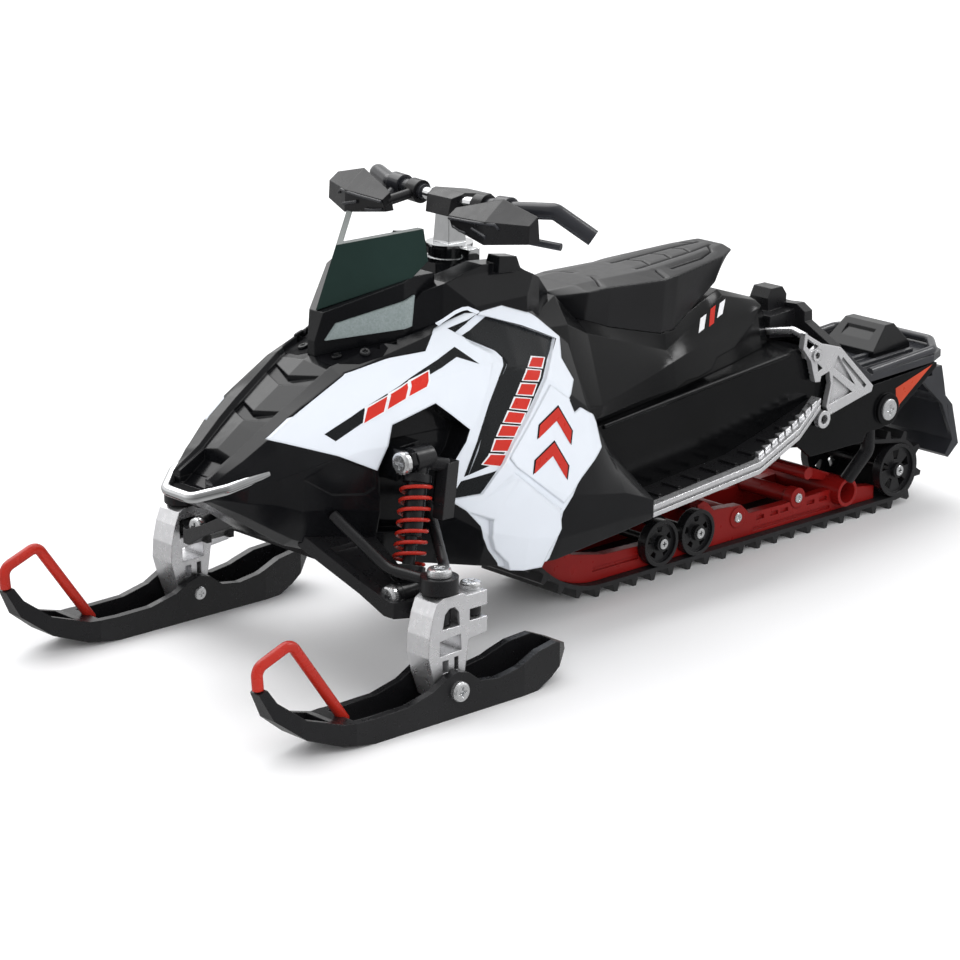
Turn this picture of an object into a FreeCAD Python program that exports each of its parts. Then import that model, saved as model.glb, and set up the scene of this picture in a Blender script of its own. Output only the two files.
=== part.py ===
# A model snowmobile at one sixteenth of full size, made of moulded plastic pieces and
# bright castings held together by screws. Millimetres, +X is the front, +Y the left side, +Z up.
# The origin is on the floor, under the middle of the length, on the centre line.
import FreeCAD, Part
import math
import os
from FreeCAD import Vector as V

# Clearances that every moving or seated piece shares
RUNNING_GAP = 0.1
SIDE_GAP = 0.3

# Front end: the kingpins stand upright, and the skis pitch about the pivot under them
KINGPIN_X = 60.0
HALF_STANCE = 33.75
SKI_PIVOT_Z = 4.6

# Spindles
SPINDLE_HALF_WIDTH = 2.7
SPINDLE_TOP_Z = 20.3
ARM_PAD_Z = 19.7
STEERING_ARM = 6.9
KINGPIN_R = 1.0
KINGPIN_HEAD_R = 2.1
KINGPIN_HEAD_THICK = 1.3
ARM_BOLT_R = 0.8
ARM_BOLT_HEAD_R = 1.8
ARM_BOLT_HEAD_THICK = 1.2
FORK_LOW_Z = 15.2
FORK_HIGH_Z = 17.2
POCKET_WALL = 0.6

# Skis
SKI_HALF_WIDTH = 4.7
SKI_WALL = 1.4
SKI_FLOOR = 1.1
SKI_PIN_R = 1.2
SKI_PIN_HEAD_R = 1.75
SKI_PIN_HEAD_THICK = 1.1
LOOP_R = 0.95

# Front arms and shocks
UPPER_BOSS_R = 3.2
UPPER_BOSS_HIGH = 2.6
UPPER_TUBE_R = 0.95
LOWER_BOSS_R = 1.9
LOWER_BOSS_LOW = FORK_LOW_Z
LOWER_BOSS_HIGH = 18.0
ARM_NECK_HALF = 1.2
SHOCK_TOP = V(52.0, HALF_STANCE - 13.75, 38.5)
SHOCK_FOOT = V(59.8, HALF_STANCE - 8.45, 18.4)
SHOCK_EYE_R = 2.0
SHOCK_TOP_R = 2.3
SHOCK_EYE_HALF = 2.0
SHOCK_ROD_R = 1.1
SHOCK_BODY_R = 1.75
RESERVOIR_HALF = 1.25
SPRING_R = 2.5
SPRING_WIRE = 0.9
SPRING_TURNS = 7
SPRING_LENGTH = 13.0
SPRING_TOP = 4.1
SPRING_SEAT = 2.7
SPRING_SEAT_R = 2.4
TIE_ROD_R = 0.75
TIE_ROD_EYE_R = 1.8

# Track, and the tunnel that clears it
TRACK_HALF_WIDTH = 10.0
BELT_THICK = 0.8
LUG_HIGH = 1.5
LUG_COUNT = 54
LUG_FOOT = 0.95
LUG_TIP = 0.4
DRIVER_X = 22.0
DRIVER_Z = 24.0
DRIVER_R = 6.0
BEND_X = -2.0
BEND_R = 22.0
REAR_WHEEL_X = -83.4
REAR_WHEEL_R = 5.35
TRACK_SIDE_GAP = 2.4
SHEET = 0.8
BELT_IN_Z = BELT_THICK + LUG_HIGH
TUNNEL_INNER = TRACK_HALF_WIDTH + TRACK_SIDE_GAP
TUNNEL_HALF = TUNNEL_INNER + SHEET

# Wheels on the skid
IDLER_R = 4.4
IDLER_X = (-16.8, -26.6)
WHEEL_GAP = 0.1
WHEEL_WIDTH = 1.9
WHEEL_OUTER_Y = TRACK_HALF_WIDTH + 0.3
WHEEL_HUB_R = 1.5
HUB_HIGH = 0.4
AXLE_R = 0.8
AXLE_END = 0.7
SLOTS = 5

# Skid rails and the tubes across them
RAIL_OUTER_Y = WHEEL_OUTER_Y - WHEEL_WIDTH - SIDE_GAP
RAIL_THICK = 2.0
RAIL_TUBE_R = 1.6
CLIP_X = -68.6
CLIP_Z = 6.1
CLIP_R = 2.8
CLIP_BORE_R = 2.1

# Rear links, which hang between the track and the tunnel
LINK_SIDE_GAP = 0.5
REAR_BOLT_X = -75.6
REAR_BOLT_Z = 22.3
REAR_BOSS_R = 3.1
REAR_BOSS_HIGH = 0.7
LINK_R = 1.35

# Running boards and their bright edges
BOARD_WIDTH = 9.0
BOARD_THICK = 1.0
EDGE_WIDTH = 1.9
BOARD_LINE = [(-2.0, 19.3), (-30.0, 21.9), (-43.0, 25.4), (-53.0, 28.6)]
BOARD_HALF = TUNNEL_HALF + BOARD_WIDTH

# Rear frame and deck
TRUSS_GAP = 0.6
TRUSS_THICK = 1.2
TRUSS_RIB = 0.5
EYE_R = 1.7
EYE_BORE_R = 0.9
EYE_X = -55.6
EYE_Z = 24.2
RING_X = -52.7
RING_Z = 37.2
DECK_HALF = TUNNEL_HALF + 0.3
FLAP_HALF = TUNNEL_HALF - 0.2

# Body and steering
PANEL_THICK = 1.2
RECESS_DEEP = 0.6
BOSS_HIGH = 1.0
STEERING_AXIS_X = 27.0
COLUMN_R = 2.5
COLLAR_R = 4.1
BAR_R = 1.1
GRIP_R = 1.45
GRIP_START = 6.4
LEVER_R = 0.65


def wire_of(points):
    """A closed wire through the points."""
    return Part.makePolygon(list(points) + [points[0]])


def prism_xz(outline, y_low, y_high):
    """A plate with its outline in the XZ plane."""
    face = Part.Face(wire_of([V(x, y_low, z) for x, z in outline]))
    return face.extrude(V(0, y_high - y_low, 0))


def prism_xy(outline, z_low, z_high):
    """A plate with its outline seen from above."""
    face = Part.Face(wire_of([V(x, y, z_low) for x, y in outline]))
    return face.extrude(V(0, 0, z_high - z_low))


def prism_yz(outline, x_low, x_high):
    """A bar with its outline seen from the front."""
    face = Part.Face(wire_of([V(x_low, y, z) for y, z in outline]))
    return face.extrude(V(x_high - x_low, 0, 0))


def mirrored_plan(outline):
    """A plan outline on the left half, completed on the right."""
    return list(outline) + [(x, -y) for x, y in reversed(outline)]


def mirrored_front(outline):
    """A front-view outline on the left half, completed on the right."""
    return list(outline) + [(-y, z) for y, z in reversed(outline)]


def box(x_low, x_high, y_low, y_high, z_low, z_high):
    size = (x_high - x_low, y_high - y_low, z_high - z_low)
    return Part.makeBox(*size, V(x_low, y_low, z_low))


def rod(start, end, radius):
    """A round bar between two points."""
    return Part.makeCylinder(radius, (end - start).Length, start, end - start)


def cross_rod(x, z, half_length, radius):
    """A round bar across the machine."""
    return rod(V(x, -half_length, z), V(x, half_length, z), radius)


def loft(sections):
    """A solid with straight sides through closed outlines of as many points each."""
    return Part.makeLoft([wire_of(s) for s in sections], True, True)


def faceted(sections):
    """A solid of flat triangles through flat outlines of as many points each."""
    faces = [Part.Face(wire_of(sections[0])), Part.Face(wire_of(sections[-1]))]
    for near, far in zip(sections, sections[1:]):
        for i in range(len(near)):
            faces.append(Part.Face(wire_of([near[i - 1], near[i], far[i]])))
            faces.append(Part.Face(wire_of([near[i - 1], far[i], far[i - 1]])))
    return Part.Solid(Part.Shell(faces))


def rounded_path(points, bend_radius):
    """A wire of straight runs joined by tangent arcs."""
    edges = []
    last = points[0]
    for before, corner, after in zip(points, points[1:], points[2:]):
        back = (before - corner).normalize()
        on = (after - corner).normalize()
        half_turn = (math.pi - back.getAngle(on)) / 2
        setback = bend_radius * math.tan(half_turn)
        start = corner + back * setback
        end = corner + on * setback
        inwards = (back + on).normalize()
        middle = corner + inwards * (bend_radius / math.cos(half_turn) - bend_radius)
        edges.append(Part.LineSegment(last, start).toShape())
        edges.append(Part.Arc(start, middle, end).toShape())
        last = end
    edges.append(Part.LineSegment(last, points[-1]).toShape())
    return Part.Wire(edges)


def bent_tube(points, bend_radius, radius):
    """A round tube along a path of straight runs and bends."""
    path = rounded_path(points, bend_radius)
    ring = Part.Wire(Part.Circle(points[0], points[1] - points[0], radius).toShape())
    return path.makePipeShell([ring], True, False)


def across(points):
    """A path on the left side, continued through its mirror image on the right."""
    return list(points) + [V(p.x, -p.y, p.z) for p in reversed(points)]


def fused(shapes):
    joined = shapes[0].fuse(list(shapes[1:]))
    return joined.removeSplitter()


def mirrored(shape):
    """The same piece on the right-hand side."""
    return shape.mirror(V(0, 0, 0), V(0, 1, 0))


# Skis: a channel with an upturned shovel, ears for the pivot, and a red tube loop at the tip

def ski():
    y_in = HALF_STANCE - SKI_HALF_WIDTH
    y_out = HALF_STANCE + SKI_HALF_WIDTH
    side = [
        (99.0, 12.4), (96.5, 7.6), (91.0, 3.4), (84.5, 1.0), (78.0, 0.0), (41.5, 0.0),
        (38.2, 1.4), (33.0, 4.8), (33.6, 6.2), (36.8, 7.4), (41.5, 6.9), (46.5, 5.2), (51.0, 4.6),
        (55.0, 5.2), (57.6, 7.2), (KINGPIN_X, 7.9), (62.4, 7.2), (65.5, 5.6), (71.0, 4.4), (78.0, 4.3),
        (84.0, 4.6), (91.0, 6.8), (96.0, 10.6), (97.6, 13.0),
    ]
    body = prism_xz(side, y_in, y_out)
    plan = [
        (99.5, 1.0), (92.0, 3.0), (82.0, SKI_HALF_WIDTH), (45.0, SKI_HALF_WIDTH),
        (36.0, SKI_HALF_WIDTH - 0.9), (32.5, 1.6),
    ]
    outline = prism_xy(mirrored_plan(plan), -1, 20)
    outline.translate(V(0, HALF_STANCE, 0))
    body = body.common(outline)
    hollow = [
        (81.5, 9.0), (81.5, 2.6), (78.0, SKI_FLOOR), (42.0, SKI_FLOOR), (38.5, 2.6), (35.4, 4.9), (35.4, 9.0),
    ]
    inner = SKI_HALF_WIDTH - SKI_WALL
    channel = prism_xy(mirrored_plan([(81.5, inner), (45.5, inner), (37.0, inner - 0.9), (35.0, 1.2)]), -1, 20)
    channel.translate(V(0, HALF_STANCE, 0))
    body = body.cut(prism_xz(hollow, y_in, y_out).common(channel))
    shovel = prism_xz([(94.5, 11.0), (95.0, 8.6), (90.5, 4.6), (86.0, 2.6), (86.0, 9.0)], y_in, y_out)
    shovel_plan = prism_xy(mirrored_plan([(95.5, 0.9), (90.5, 2.2), (86.0, 3.0)]), -1, 20)
    shovel_plan.translate(V(0, HALF_STANCE, 0))
    body = body.cut(shovel.common(shovel_plan))
    pin_hole = rod(V(KINGPIN_X, y_in - 1, SKI_PIVOT_Z), V(KINGPIN_X, y_out + 1, SKI_PIVOT_Z), SKI_PIN_R)
    return body.cut(pin_hole)


def ski_pin():
    """The pivot screw, with its head on the outer ear."""
    low = HALF_STANCE - SKI_HALF_WIDTH
    high = HALF_STANCE + SKI_HALF_WIDTH
    shank = rod(V(KINGPIN_X, low, SKI_PIVOT_Z), V(KINGPIN_X, high, SKI_PIVOT_Z), SKI_PIN_R)
    top = V(KINGPIN_X, high + SKI_PIN_HEAD_THICK, SKI_PIVOT_Z)
    return fused([shank, rod(V(KINGPIN_X, high, SKI_PIVOT_Z), top, SKI_PIN_HEAD_R)])


def ski_loop():
    y = HALF_STANCE
    points = [V(80.6, y, 3.6), V(91.6, y, 19.0), V(98.6, y, 16.4), V(98.3, y, 12.9)]
    return bent_tube(points, 1.9, LOOP_R)


# Spindles: an open casting between the front arms and the ski, with a steering arm behind

def spindle():
    y_in = HALF_STANCE - SPINDLE_HALF_WIDTH
    y_out = HALF_STANCE + SPINDLE_HALF_WIDTH
    arm_x = KINGPIN_X - STEERING_ARM
    arm_end = arm_x - 1.3
    outline = [
        (62.9, 19.6), (61.6, SPINDLE_TOP_Z), (57.4, SPINDLE_TOP_Z), (56.2, ARM_PAD_Z), (arm_end, ARM_PAD_Z),
        (arm_end, FORK_HIGH_Z), (55.7, FORK_HIGH_Z), (55.7, FORK_LOW_Z), (arm_end, FORK_LOW_Z), (arm_end, 12.5),
        (55.9, 12.1), (57.0, 5.0), (58.2, 2.6), (60.2, 1.8), (62.2, 2.8), (63.6, 6.6), (64.8, 10.7), (64.6, 14.0),
        (63.8, 17.4),
    ]
    body = prism_xz(outline, y_in, y_out)
    pocket_low = LOWER_BOSS_LOW - SIDE_GAP
    pocket_high = LOWER_BOSS_HIGH + SIDE_GAP
    openings = [
        box(57.2, 62.8, y_in - 1, y_out - POCKET_WALL, pocket_low, pocket_high),
        prism_xz([(57.9, 14.9), (61.7, 14.9), (61.2, 17.4), (60.2, 18.3), (59.0, 18.3), (58.1, 17.3)], y_in, y_out + 1),
        prism_xz([(57.5, 10.6), (62.3, 10.4), (62.3, 13.0), (57.7, 13.4)], y_in - 1, y_out + 1),
        box(60.4, 61.7, y_in - 1, y_out + 1, 7.4, 9.5),
        box(58.2, 59.1, y_in - 1, y_out + 1, 7.4, 9.7),
    ]
    body = body.cut(openings)
    kingpin_hole = rod(V(KINGPIN_X, HALF_STANCE, 13.5), V(KINGPIN_X, HALF_STANCE, 21), KINGPIN_R)
    arm_hole = rod(V(arm_x, HALF_STANCE, 13), V(arm_x, HALF_STANCE, 21), ARM_BOLT_R)
    pin_start = V(KINGPIN_X, y_in - 1, SKI_PIVOT_Z)
    pin_hole = rod(pin_start, V(KINGPIN_X, y_out + 1, SKI_PIVOT_Z), SKI_PIN_R + RUNNING_GAP)
    return body.cut([kingpin_hole, arm_hole, pin_hole])


def kingpin():
    """The screw that the spindle turns with, through the bosses of both arms."""
    seat_z = SPINDLE_TOP_Z + SIDE_GAP + UPPER_BOSS_HIGH + RUNNING_GAP
    foot = V(KINGPIN_X, HALF_STANCE, 13.5)
    shoulder = V(KINGPIN_X, HALF_STANCE, seat_z)
    top = V(KINGPIN_X, HALF_STANCE, seat_z + KINGPIN_HEAD_THICK)
    return fused([rod(foot, shoulder, KINGPIN_R), rod(shoulder, top, KINGPIN_HEAD_R)])


def arm_bolt():
    x = KINGPIN_X - STEERING_ARM
    shoulder = V(x, HALF_STANCE, ARM_PAD_Z)
    top = V(x, HALF_STANCE, ARM_PAD_Z + ARM_BOLT_HEAD_THICK)
    return fused([rod(V(x, HALF_STANCE, 13), shoulder, ARM_BOLT_R), rod(shoulder, top, ARM_BOLT_HEAD_R)])


def tie_rod():
    """One bar from spindle to spindle, with an eye at each steering arm."""
    x = KINGPIN_X - STEERING_ARM
    low = FORK_LOW_Z + 0.2
    high = FORK_HIGH_Z - 0.2
    pieces = [box(x - TIE_ROD_R, x + TIE_ROD_R, -HALF_STANCE, HALF_STANCE, low, high)]
    holes = []
    for y in (-HALF_STANCE, HALF_STANCE):
        pieces.append(rod(V(x, y, low), V(x, y, high), TIE_ROD_EYE_R))
        holes.append(rod(V(x, y, low - 1), V(x, y, high + 1), ARM_BOLT_R + RUNNING_GAP))
    return fused(pieces).cut(holes)


# Front arms: a moulded plate below, a bent wishbone of tube above, and the shock between them

ARM_ROOT_Y = 8.0


def lower_arm():
    out = HALF_STANCE
    plan = [
        (68.4, ARM_ROOT_Y), (64.6, out - 6.0), (KINGPIN_X + ARM_NECK_HALF, out - 4.5),
        (KINGPIN_X + ARM_NECK_HALF, out), (KINGPIN_X - ARM_NECK_HALF, out),
        (KINGPIN_X - ARM_NECK_HALF, out - 4.5), (56.8, out - 6.5), (56.4, out - 13.0), (55.2, ARM_ROOT_Y),
    ]
    side = [
        (ARM_ROOT_Y, 24.0), (out - 13.0, 18.2), (out - 8.0, LOWER_BOSS_LOW + 0.2), (out - 5.0, LOWER_BOSS_LOW),
        (out, LOWER_BOSS_LOW), (out, LOWER_BOSS_HIGH), (out - 7.0, LOWER_BOSS_HIGH), (out - 13.0, 20.4),
        (ARM_ROOT_Y, 26.6),
    ]
    plate = prism_xy(plan, 0, 40).common(prism_yz(side, 40, 80))
    relief = prism_xy([(65.6, 13.0), (63.0, out - 9.5), (59.4, out - 9.5), (58.0, 13.0)], 0, 40)
    top_skin = prism_yz([(y, z - 0.9) for y, z in side[5:]] + [(ARM_ROOT_Y, 40), (out, 40)], 40, 80)
    plate = plate.cut(relief.common(top_skin))
    foot = SHOCK_FOOT
    ears = []
    for x in (foot.x - SHOCK_EYE_HALF - 1.0, foot.x + SHOCK_EYE_HALF):
        ears.append(rod(V(x, foot.y, foot.z), V(x + 1.0, foot.y, foot.z), SHOCK_EYE_R))
        ears.append(box(x, x + 1.0, foot.y - SHOCK_EYE_R, foot.y + SHOCK_EYE_R, LOWER_BOSS_LOW + 0.6, foot.z))
    boss = rod(V(KINGPIN_X, out, LOWER_BOSS_LOW), V(KINGPIN_X, out, LOWER_BOSS_HIGH), LOWER_BOSS_R)
    arm = fused([plate, boss] + ears)
    eye_start = V(foot.x - SHOCK_EYE_HALF, foot.y, foot.z)
    eye_space = rod(eye_start, V(foot.x + SHOCK_EYE_HALF, foot.y, foot.z), SHOCK_EYE_R + SIDE_GAP)
    screw_hole = rod(V(foot.x - 4, foot.y, foot.z), V(foot.x + 4, foot.y, foot.z), 0.8)
    hole = rod(V(KINGPIN_X, out, 10), V(KINGPIN_X, out, 20), KINGPIN_R + RUNNING_GAP)
    return arm.cut([eye_space, hole, screw_hole])


def upper_arm():
    z_low = SPINDLE_TOP_Z + SIDE_GAP
    middle = z_low + UPPER_BOSS_HIGH / 2
    out = HALF_STANCE
    boss = rod(V(KINGPIN_X, out, z_low), V(KINGPIN_X, out, z_low + UPPER_BOSS_HIGH), UPPER_BOSS_R)
    hub = V(KINGPIN_X, out, middle)
    front = bent_tube([hub, V(63.0, out - 9.1, middle + 0.9), V(64.9, 13.0, 29.8)], 6.0, UPPER_TUBE_R)
    rear = bent_tube([hub, V(54.4, out - 5.0, middle + 0.6), V(47.0, 16.5, 29.4)], 4.0, UPPER_TUBE_R)
    hole = rod(V(KINGPIN_X, out, 15), V(KINGPIN_X, out, 30), KINGPIN_R + RUNNING_GAP)
    return fused([boss, front, rear]).cut(hole)


def shock_axis():
    return (SHOCK_FOOT - SHOCK_TOP).normalize()


def eye_rod(centre, half, radius):
    return rod(centre + V(-half, 0, 0), centre + V(half, 0, 0), radius)


def shock():
    down = shock_axis()
    lower_seat = SPRING_TOP + SPRING_LENGTH + SPRING_WIRE
    reservoir_top = SHOCK_TOP + V(-4.4, 2.4, -0.6)
    square = [V(RESERVOIR_HALF, RESERVOIR_HALF, 0), V(-RESERVOIR_HALF, RESERVOIR_HALF, 0),
              V(-RESERVOIR_HALF, -RESERVOIR_HALF, 0), V(RESERVOIR_HALF, -RESERVOIR_HALF, 0)]
    reservoir_foot = reservoir_top + down * 9.6
    pieces = [
        eye_rod(SHOCK_TOP, SHOCK_EYE_HALF, SHOCK_TOP_R),
        rod(SHOCK_TOP, SHOCK_TOP + down * 13.0, SHOCK_BODY_R),
        rod(SHOCK_TOP + down * 13.0, SHOCK_FOOT, SHOCK_ROD_R),
        rod(SHOCK_TOP + down * SPRING_SEAT, SHOCK_TOP + down * SPRING_TOP, SPRING_SEAT_R),
        rod(SHOCK_TOP + down * lower_seat, SHOCK_TOP + down * (lower_seat + 1.0), 2.9),
        eye_rod(SHOCK_FOOT, SHOCK_EYE_HALF, SHOCK_EYE_R),
        loft([[reservoir_top + p for p in square], [reservoir_foot + p for p in square]]),
        rod(SHOCK_TOP + V(0, 0, -0.4), reservoir_top + down * 0.8, 1.2),
    ]
    holes = [eye_rod(SHOCK_TOP, 5, 0.8), eye_rod(SHOCK_FOOT, 5, 0.8)]
    return fused(pieces).cut(holes)


def shock_screws():
    """The forward-facing screws at both ends of a shock."""
    top = [eye_rod(SHOCK_TOP, SHOCK_EYE_HALF + 1.2, 0.8),
           rod(SHOCK_TOP + V(SHOCK_EYE_HALF + 1.2, 0, 0), SHOCK_TOP + V(SHOCK_EYE_HALF + 2.5, 0, 0), 2.0)]
    foot = [eye_rod(SHOCK_FOOT, SHOCK_EYE_HALF + 1.0, 0.8),
            rod(SHOCK_FOOT + V(SHOCK_EYE_HALF + 1.0, 0, 0), SHOCK_FOOT + V(SHOCK_EYE_HALF + 2.2, 0, 0), 1.8)]
    return [fused(top), fused(foot)]


def shock_tower():
    """The ear and the block on the body that hold the upper end of a shock."""
    x = SHOCK_TOP.x + SHOCK_EYE_HALF
    y = SHOCK_TOP.y
    z = SHOCK_TOP.z
    root = y - 8.0
    outline = [(root, z + 4.2), (y - 2.4, z + 3.6), (y + 1.4, z + 2.0), (y + 2.2, z), (y + 1.2, z - 2.0),
               (y - 1.4, z - 2.6), (root, z - 4.4)]
    ear = prism_yz(outline, x, x + 1.2)
    back = box(x - 4.4, x + 0.6, root, y - SHOCK_TOP_R - SIDE_GAP, z - 4.0, z + 4.0)
    down = shock_axis()
    body_room = rod(SHOCK_TOP, SHOCK_TOP + down * SPRING_SEAT, SHOCK_BODY_R + SIDE_GAP)
    seat_room = rod(SHOCK_TOP + down * (SPRING_SEAT - SIDE_GAP), SHOCK_TOP + down * 9, SPRING_SEAT_R + SIDE_GAP)
    return fused([ear, back]).cut([eye_rod(SHOCK_TOP, 6, 0.8), body_room, seat_room])


def spring():
    down = shock_axis()
    helix = Part.makeHelix(SPRING_LENGTH / SPRING_TURNS, SPRING_LENGTH, SPRING_R)
    half = SPRING_WIRE / 2
    outline = [V(SPRING_R - half, 0, 0), V(SPRING_R, 0, half), V(SPRING_R + half, 0, 0), V(SPRING_R, 0, -half)]
    coil = Part.Wire(helix).makePipeShell([wire_of(outline)], True, True)
    start = SHOCK_TOP + down * (SPRING_TOP + half)
    coil.Placement = FreeCAD.Placement(start, FreeCAD.Rotation(V(0, 0, 1), down))
    return coil


# Track: a lugged belt round the driver, the rail bend and the rear wheels

def track_circles(extra):
    rear = (REAR_WHEEL_X, BELT_IN_Z + REAR_WHEEL_R + WHEEL_GAP, REAR_WHEEL_R + WHEEL_GAP + extra)
    bend = (BEND_X, BELT_IN_Z + BEND_R, BEND_R + extra)
    driver = (DRIVER_X, DRIVER_Z, DRIVER_R + extra)
    return [rear, bend, driver]


def loop_runs(extra):
    """The straight runs that touch the circles, each with the angle of its outward normal."""
    circles = track_circles(extra)
    runs = []
    for (x0, z0, r0), (x1, z1, r1) in zip(circles, circles[1:] + circles[:1]):
        along = math.atan2(z1 - z0, x1 - x0)
        tilt = math.asin((r1 - r0) / math.hypot(x1 - x0, z1 - z0))
        normal = along - math.pi / 2 - tilt
        out_x = math.cos(normal)
        out_z = math.sin(normal)
        runs.append(((x0 + r0 * out_x, z0 + r0 * out_z), (x1 + r1 * out_x, z1 + r1 * out_z), normal))
    return runs


def loop_spans(extra):
    """Each run with the arc that follows it: start, end, normal, centre, radius and turn."""
    circles = track_circles(extra)
    runs = loop_runs(extra)
    spans = []
    for i, (start, end, normal) in enumerate(runs):
        following = (i + 1) % len(runs)
        turn = (runs[following][2] - normal) % (2 * math.pi)
        spans.append((start, end, normal, circles[following], turn))
    return spans


def loop_face(extra):
    edges = []
    for start, end, normal, (x, z, r), turn in loop_spans(extra):
        middle = normal + turn / 2
        last = normal + turn
        edges.append(Part.LineSegment(V(start[0], 0, start[1]), V(end[0], 0, end[1])).toShape())
        through = V(x + r * math.cos(middle), 0, z + r * math.sin(middle))
        arc_end = V(x + r * math.cos(last), 0, z + r * math.sin(last))
        edges.append(Part.Arc(V(end[0], 0, end[1]), through, arc_end).toShape())
    return Part.Face(Part.Wire(edges))


def loop_length(extra):
    return sum(math.dist(start, end) + turn * circle[2] for start, end, _, circle, turn in loop_spans(extra))


def loop_point(distance, extra):
    """A point on the loop and its outward angle, at a distance along the belt."""
    for start, end, normal, (x, z, r), turn in loop_spans(extra):
        length = math.dist(start, end)
        if distance <= length:
            share = distance / length
            return start[0] + (end[0] - start[0]) * share, start[1] + (end[1] - start[1]) * share, normal
        distance -= length
        if distance <= turn * r:
            angle = normal + distance / r
            return x + r * math.cos(angle), z + r * math.sin(angle), angle
        distance -= turn * r
    return loop_point(distance, extra)


def track():
    belt = loop_face(BELT_THICK).cut(loop_face(0)).extrude(V(0, 2 * TRACK_HALF_WIDTH, 0))
    belt.translate(V(0, -TRACK_HALF_WIDTH, 0))
    pitch = loop_length(BELT_THICK) / LUG_COUNT
    lugs = []
    for i in range(LUG_COUNT):
        x, z, angle = loop_point((i + 0.3) * pitch, BELT_THICK)
        out = V(math.cos(angle), 0, math.sin(angle))
        along = V(-math.sin(angle), 0, math.cos(angle))
        root = V(x, -TRACK_HALF_WIDTH, z) - out * 0.3
        tip = V(x, -TRACK_HALF_WIDTH, z) + out * LUG_HIGH
        outline = [root - along * LUG_FOOT, root + along * LUG_FOOT, tip + along * LUG_TIP, tip - along * LUG_TIP]
        lugs.append(Part.Face(wire_of(outline)).extrude(V(0, 2 * TRACK_HALF_WIDTH, 0)))
    return fused([belt] + lugs)


# Skid: red rails, their cross tubes, and the wheels on them

def rail():
    outer = RAIL_OUTER_Y
    inner = RAIL_OUTER_Y - RAIL_THICK
    floor = BELT_IN_Z
    beam = prism_xz([
        (13.0, 9.4), (12.0, 11.0), (9.0, 10.4), (4.1, 8.6), (-4.0, 6.9), (-13.0, 6.6), (-30.0, 6.9), (-44.0, 6.7),
        (-52.0, 6.5), (-66.0, 6.8), (-79.0, 5.0), (-79.0, floor), (-2.0, floor), (20.0, floor),
    ], inner, outer)
    within = loop_face(-0.05).extrude(V(0, 40, 0))
    horn = prism_xz([
        (-28.0, 6.5), (-28.6, 11.2), (-30.2, 11.7), (-31.4, 11.0), (-32.9, 9.4), (-35.6, 9.2), (-38.0, 9.0),
        (-40.6, 8.8), (-42.0, 7.6), (-43.0, 6.5),
    ], inner, outer)
    bosses = [rod(V(x, inner, z), V(x, outer + 0.2, z), RAIL_TUBE_R + 0.4) for x, z in ((-39.5, 6.6), (-56.5, 7.0))]
    body = fused([beam.common(within), horn] + bosses)
    slots = []
    for x in (-46.0, -50.0, -54.0 + 1.2, -60.4, -64.0):
        slots.append(box(x - 1.1, x + 1.1, outer - 0.5, outer + 1, 4.9, 5.7))
    groove = box(-66.0, -44.0, outer - 0.35, outer + 1, 3.0, 3.6)
    front_groove = box(-13.0, -1.0, outer - 0.35, outer + 1, 4.2, 4.9)
    return body.cut(slots + [groove, front_groove])


def skid():
    rails = rail()
    reach = RAIL_OUTER_Y + 0.2
    clip_end = WHEEL_OUTER_Y
    lever = prism_xz([(-58.6, 12.2), (-60.6, 12.2), (-69.6, 8.6), (-68.4, 7.4), (-66.6, 8.0), (-59.0, 10.2)], -5.6, 5.6)
    pieces = [
        rails, mirrored(rails),
        cross_rod(-39.5, 6.6, reach, RAIL_TUBE_R),
        cross_rod(-56.5, 7.0, reach, RAIL_TUBE_R),
        cross_rod(CLIP_X, CLIP_Z, clip_end, CLIP_R),
        cross_rod(4.0, 7.0, RAIL_OUTER_Y, 1.0),
        cross_rod(-59.6, 11.2, 8.0, 1.2),
        lever,
    ]
    frame = fused(pieces)
    return frame.cut(cross_rod(CLIP_X, CLIP_Z, 20, CLIP_BORE_R))


def wheel(x, z, radius, y_outer, width):
    """A dished wheel: a rim, a plate with a ring of slots, and a raised hub."""
    y_inner = y_outer - width
    disc = rod(V(x, y_inner, z), V(x, y_outer, z), radius)
    dish = rod(V(x, y_outer - 0.6, z), V(x, y_outer + 1, z), radius - 0.7)
    hub = rod(V(x, y_inner, z), V(x, y_outer + HUB_HIGH, z), WHEEL_HUB_R)
    slots = []
    for i in range(SLOTS):
        angle = 2 * math.pi * (i + 0.25) / SLOTS
        points = []
        for turn, reach in ((-0.2, 2.1), (0.2, 2.1), (0.24, radius - 1.3), (-0.24, radius - 1.3)):
            points.append((x + reach * math.cos(angle + turn), z + reach * math.sin(angle + turn)))
        slots.append(prism_xz(points, y_inner - 1, y_outer + 1))
    return disc.cut([dish] + slots).fuse(hub)


def wheel_set(x, z, radius):
    """A wheel outside each rail on one axle."""
    left = wheel(x, z, radius, WHEEL_OUTER_Y, WHEEL_WIDTH)
    return fused([left, mirrored(left), cross_rod(x, z, WHEEL_OUTER_Y + AXLE_END, AXLE_R)])


def front_links():
    """The arm that carries the front of the skid, on a shaft through the tunnel."""
    root = V(-6.0, 0, 19.6)
    foot = V(-21.6, 0, 8.6)
    side = RAIL_OUTER_Y - RAIL_THICK - SIDE_GAP
    blade = [(root.x + 1.2, root.z - 0.4), (root.x - 0.6, root.z + 1.2), (foot.x - 1.2, foot.z + 0.5),
             (foot.x + 0.5, foot.z - 1.3)]
    pieces = [cross_rod(root.x, root.z, TUNNEL_INNER, 1.0), cross_rod(foot.x, foot.z, side, 1.0)]
    for y in (-side, side - 1.2):
        pieces.append(prism_xz(blade, y, y + 1.2))
    return fused(pieces)


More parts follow.
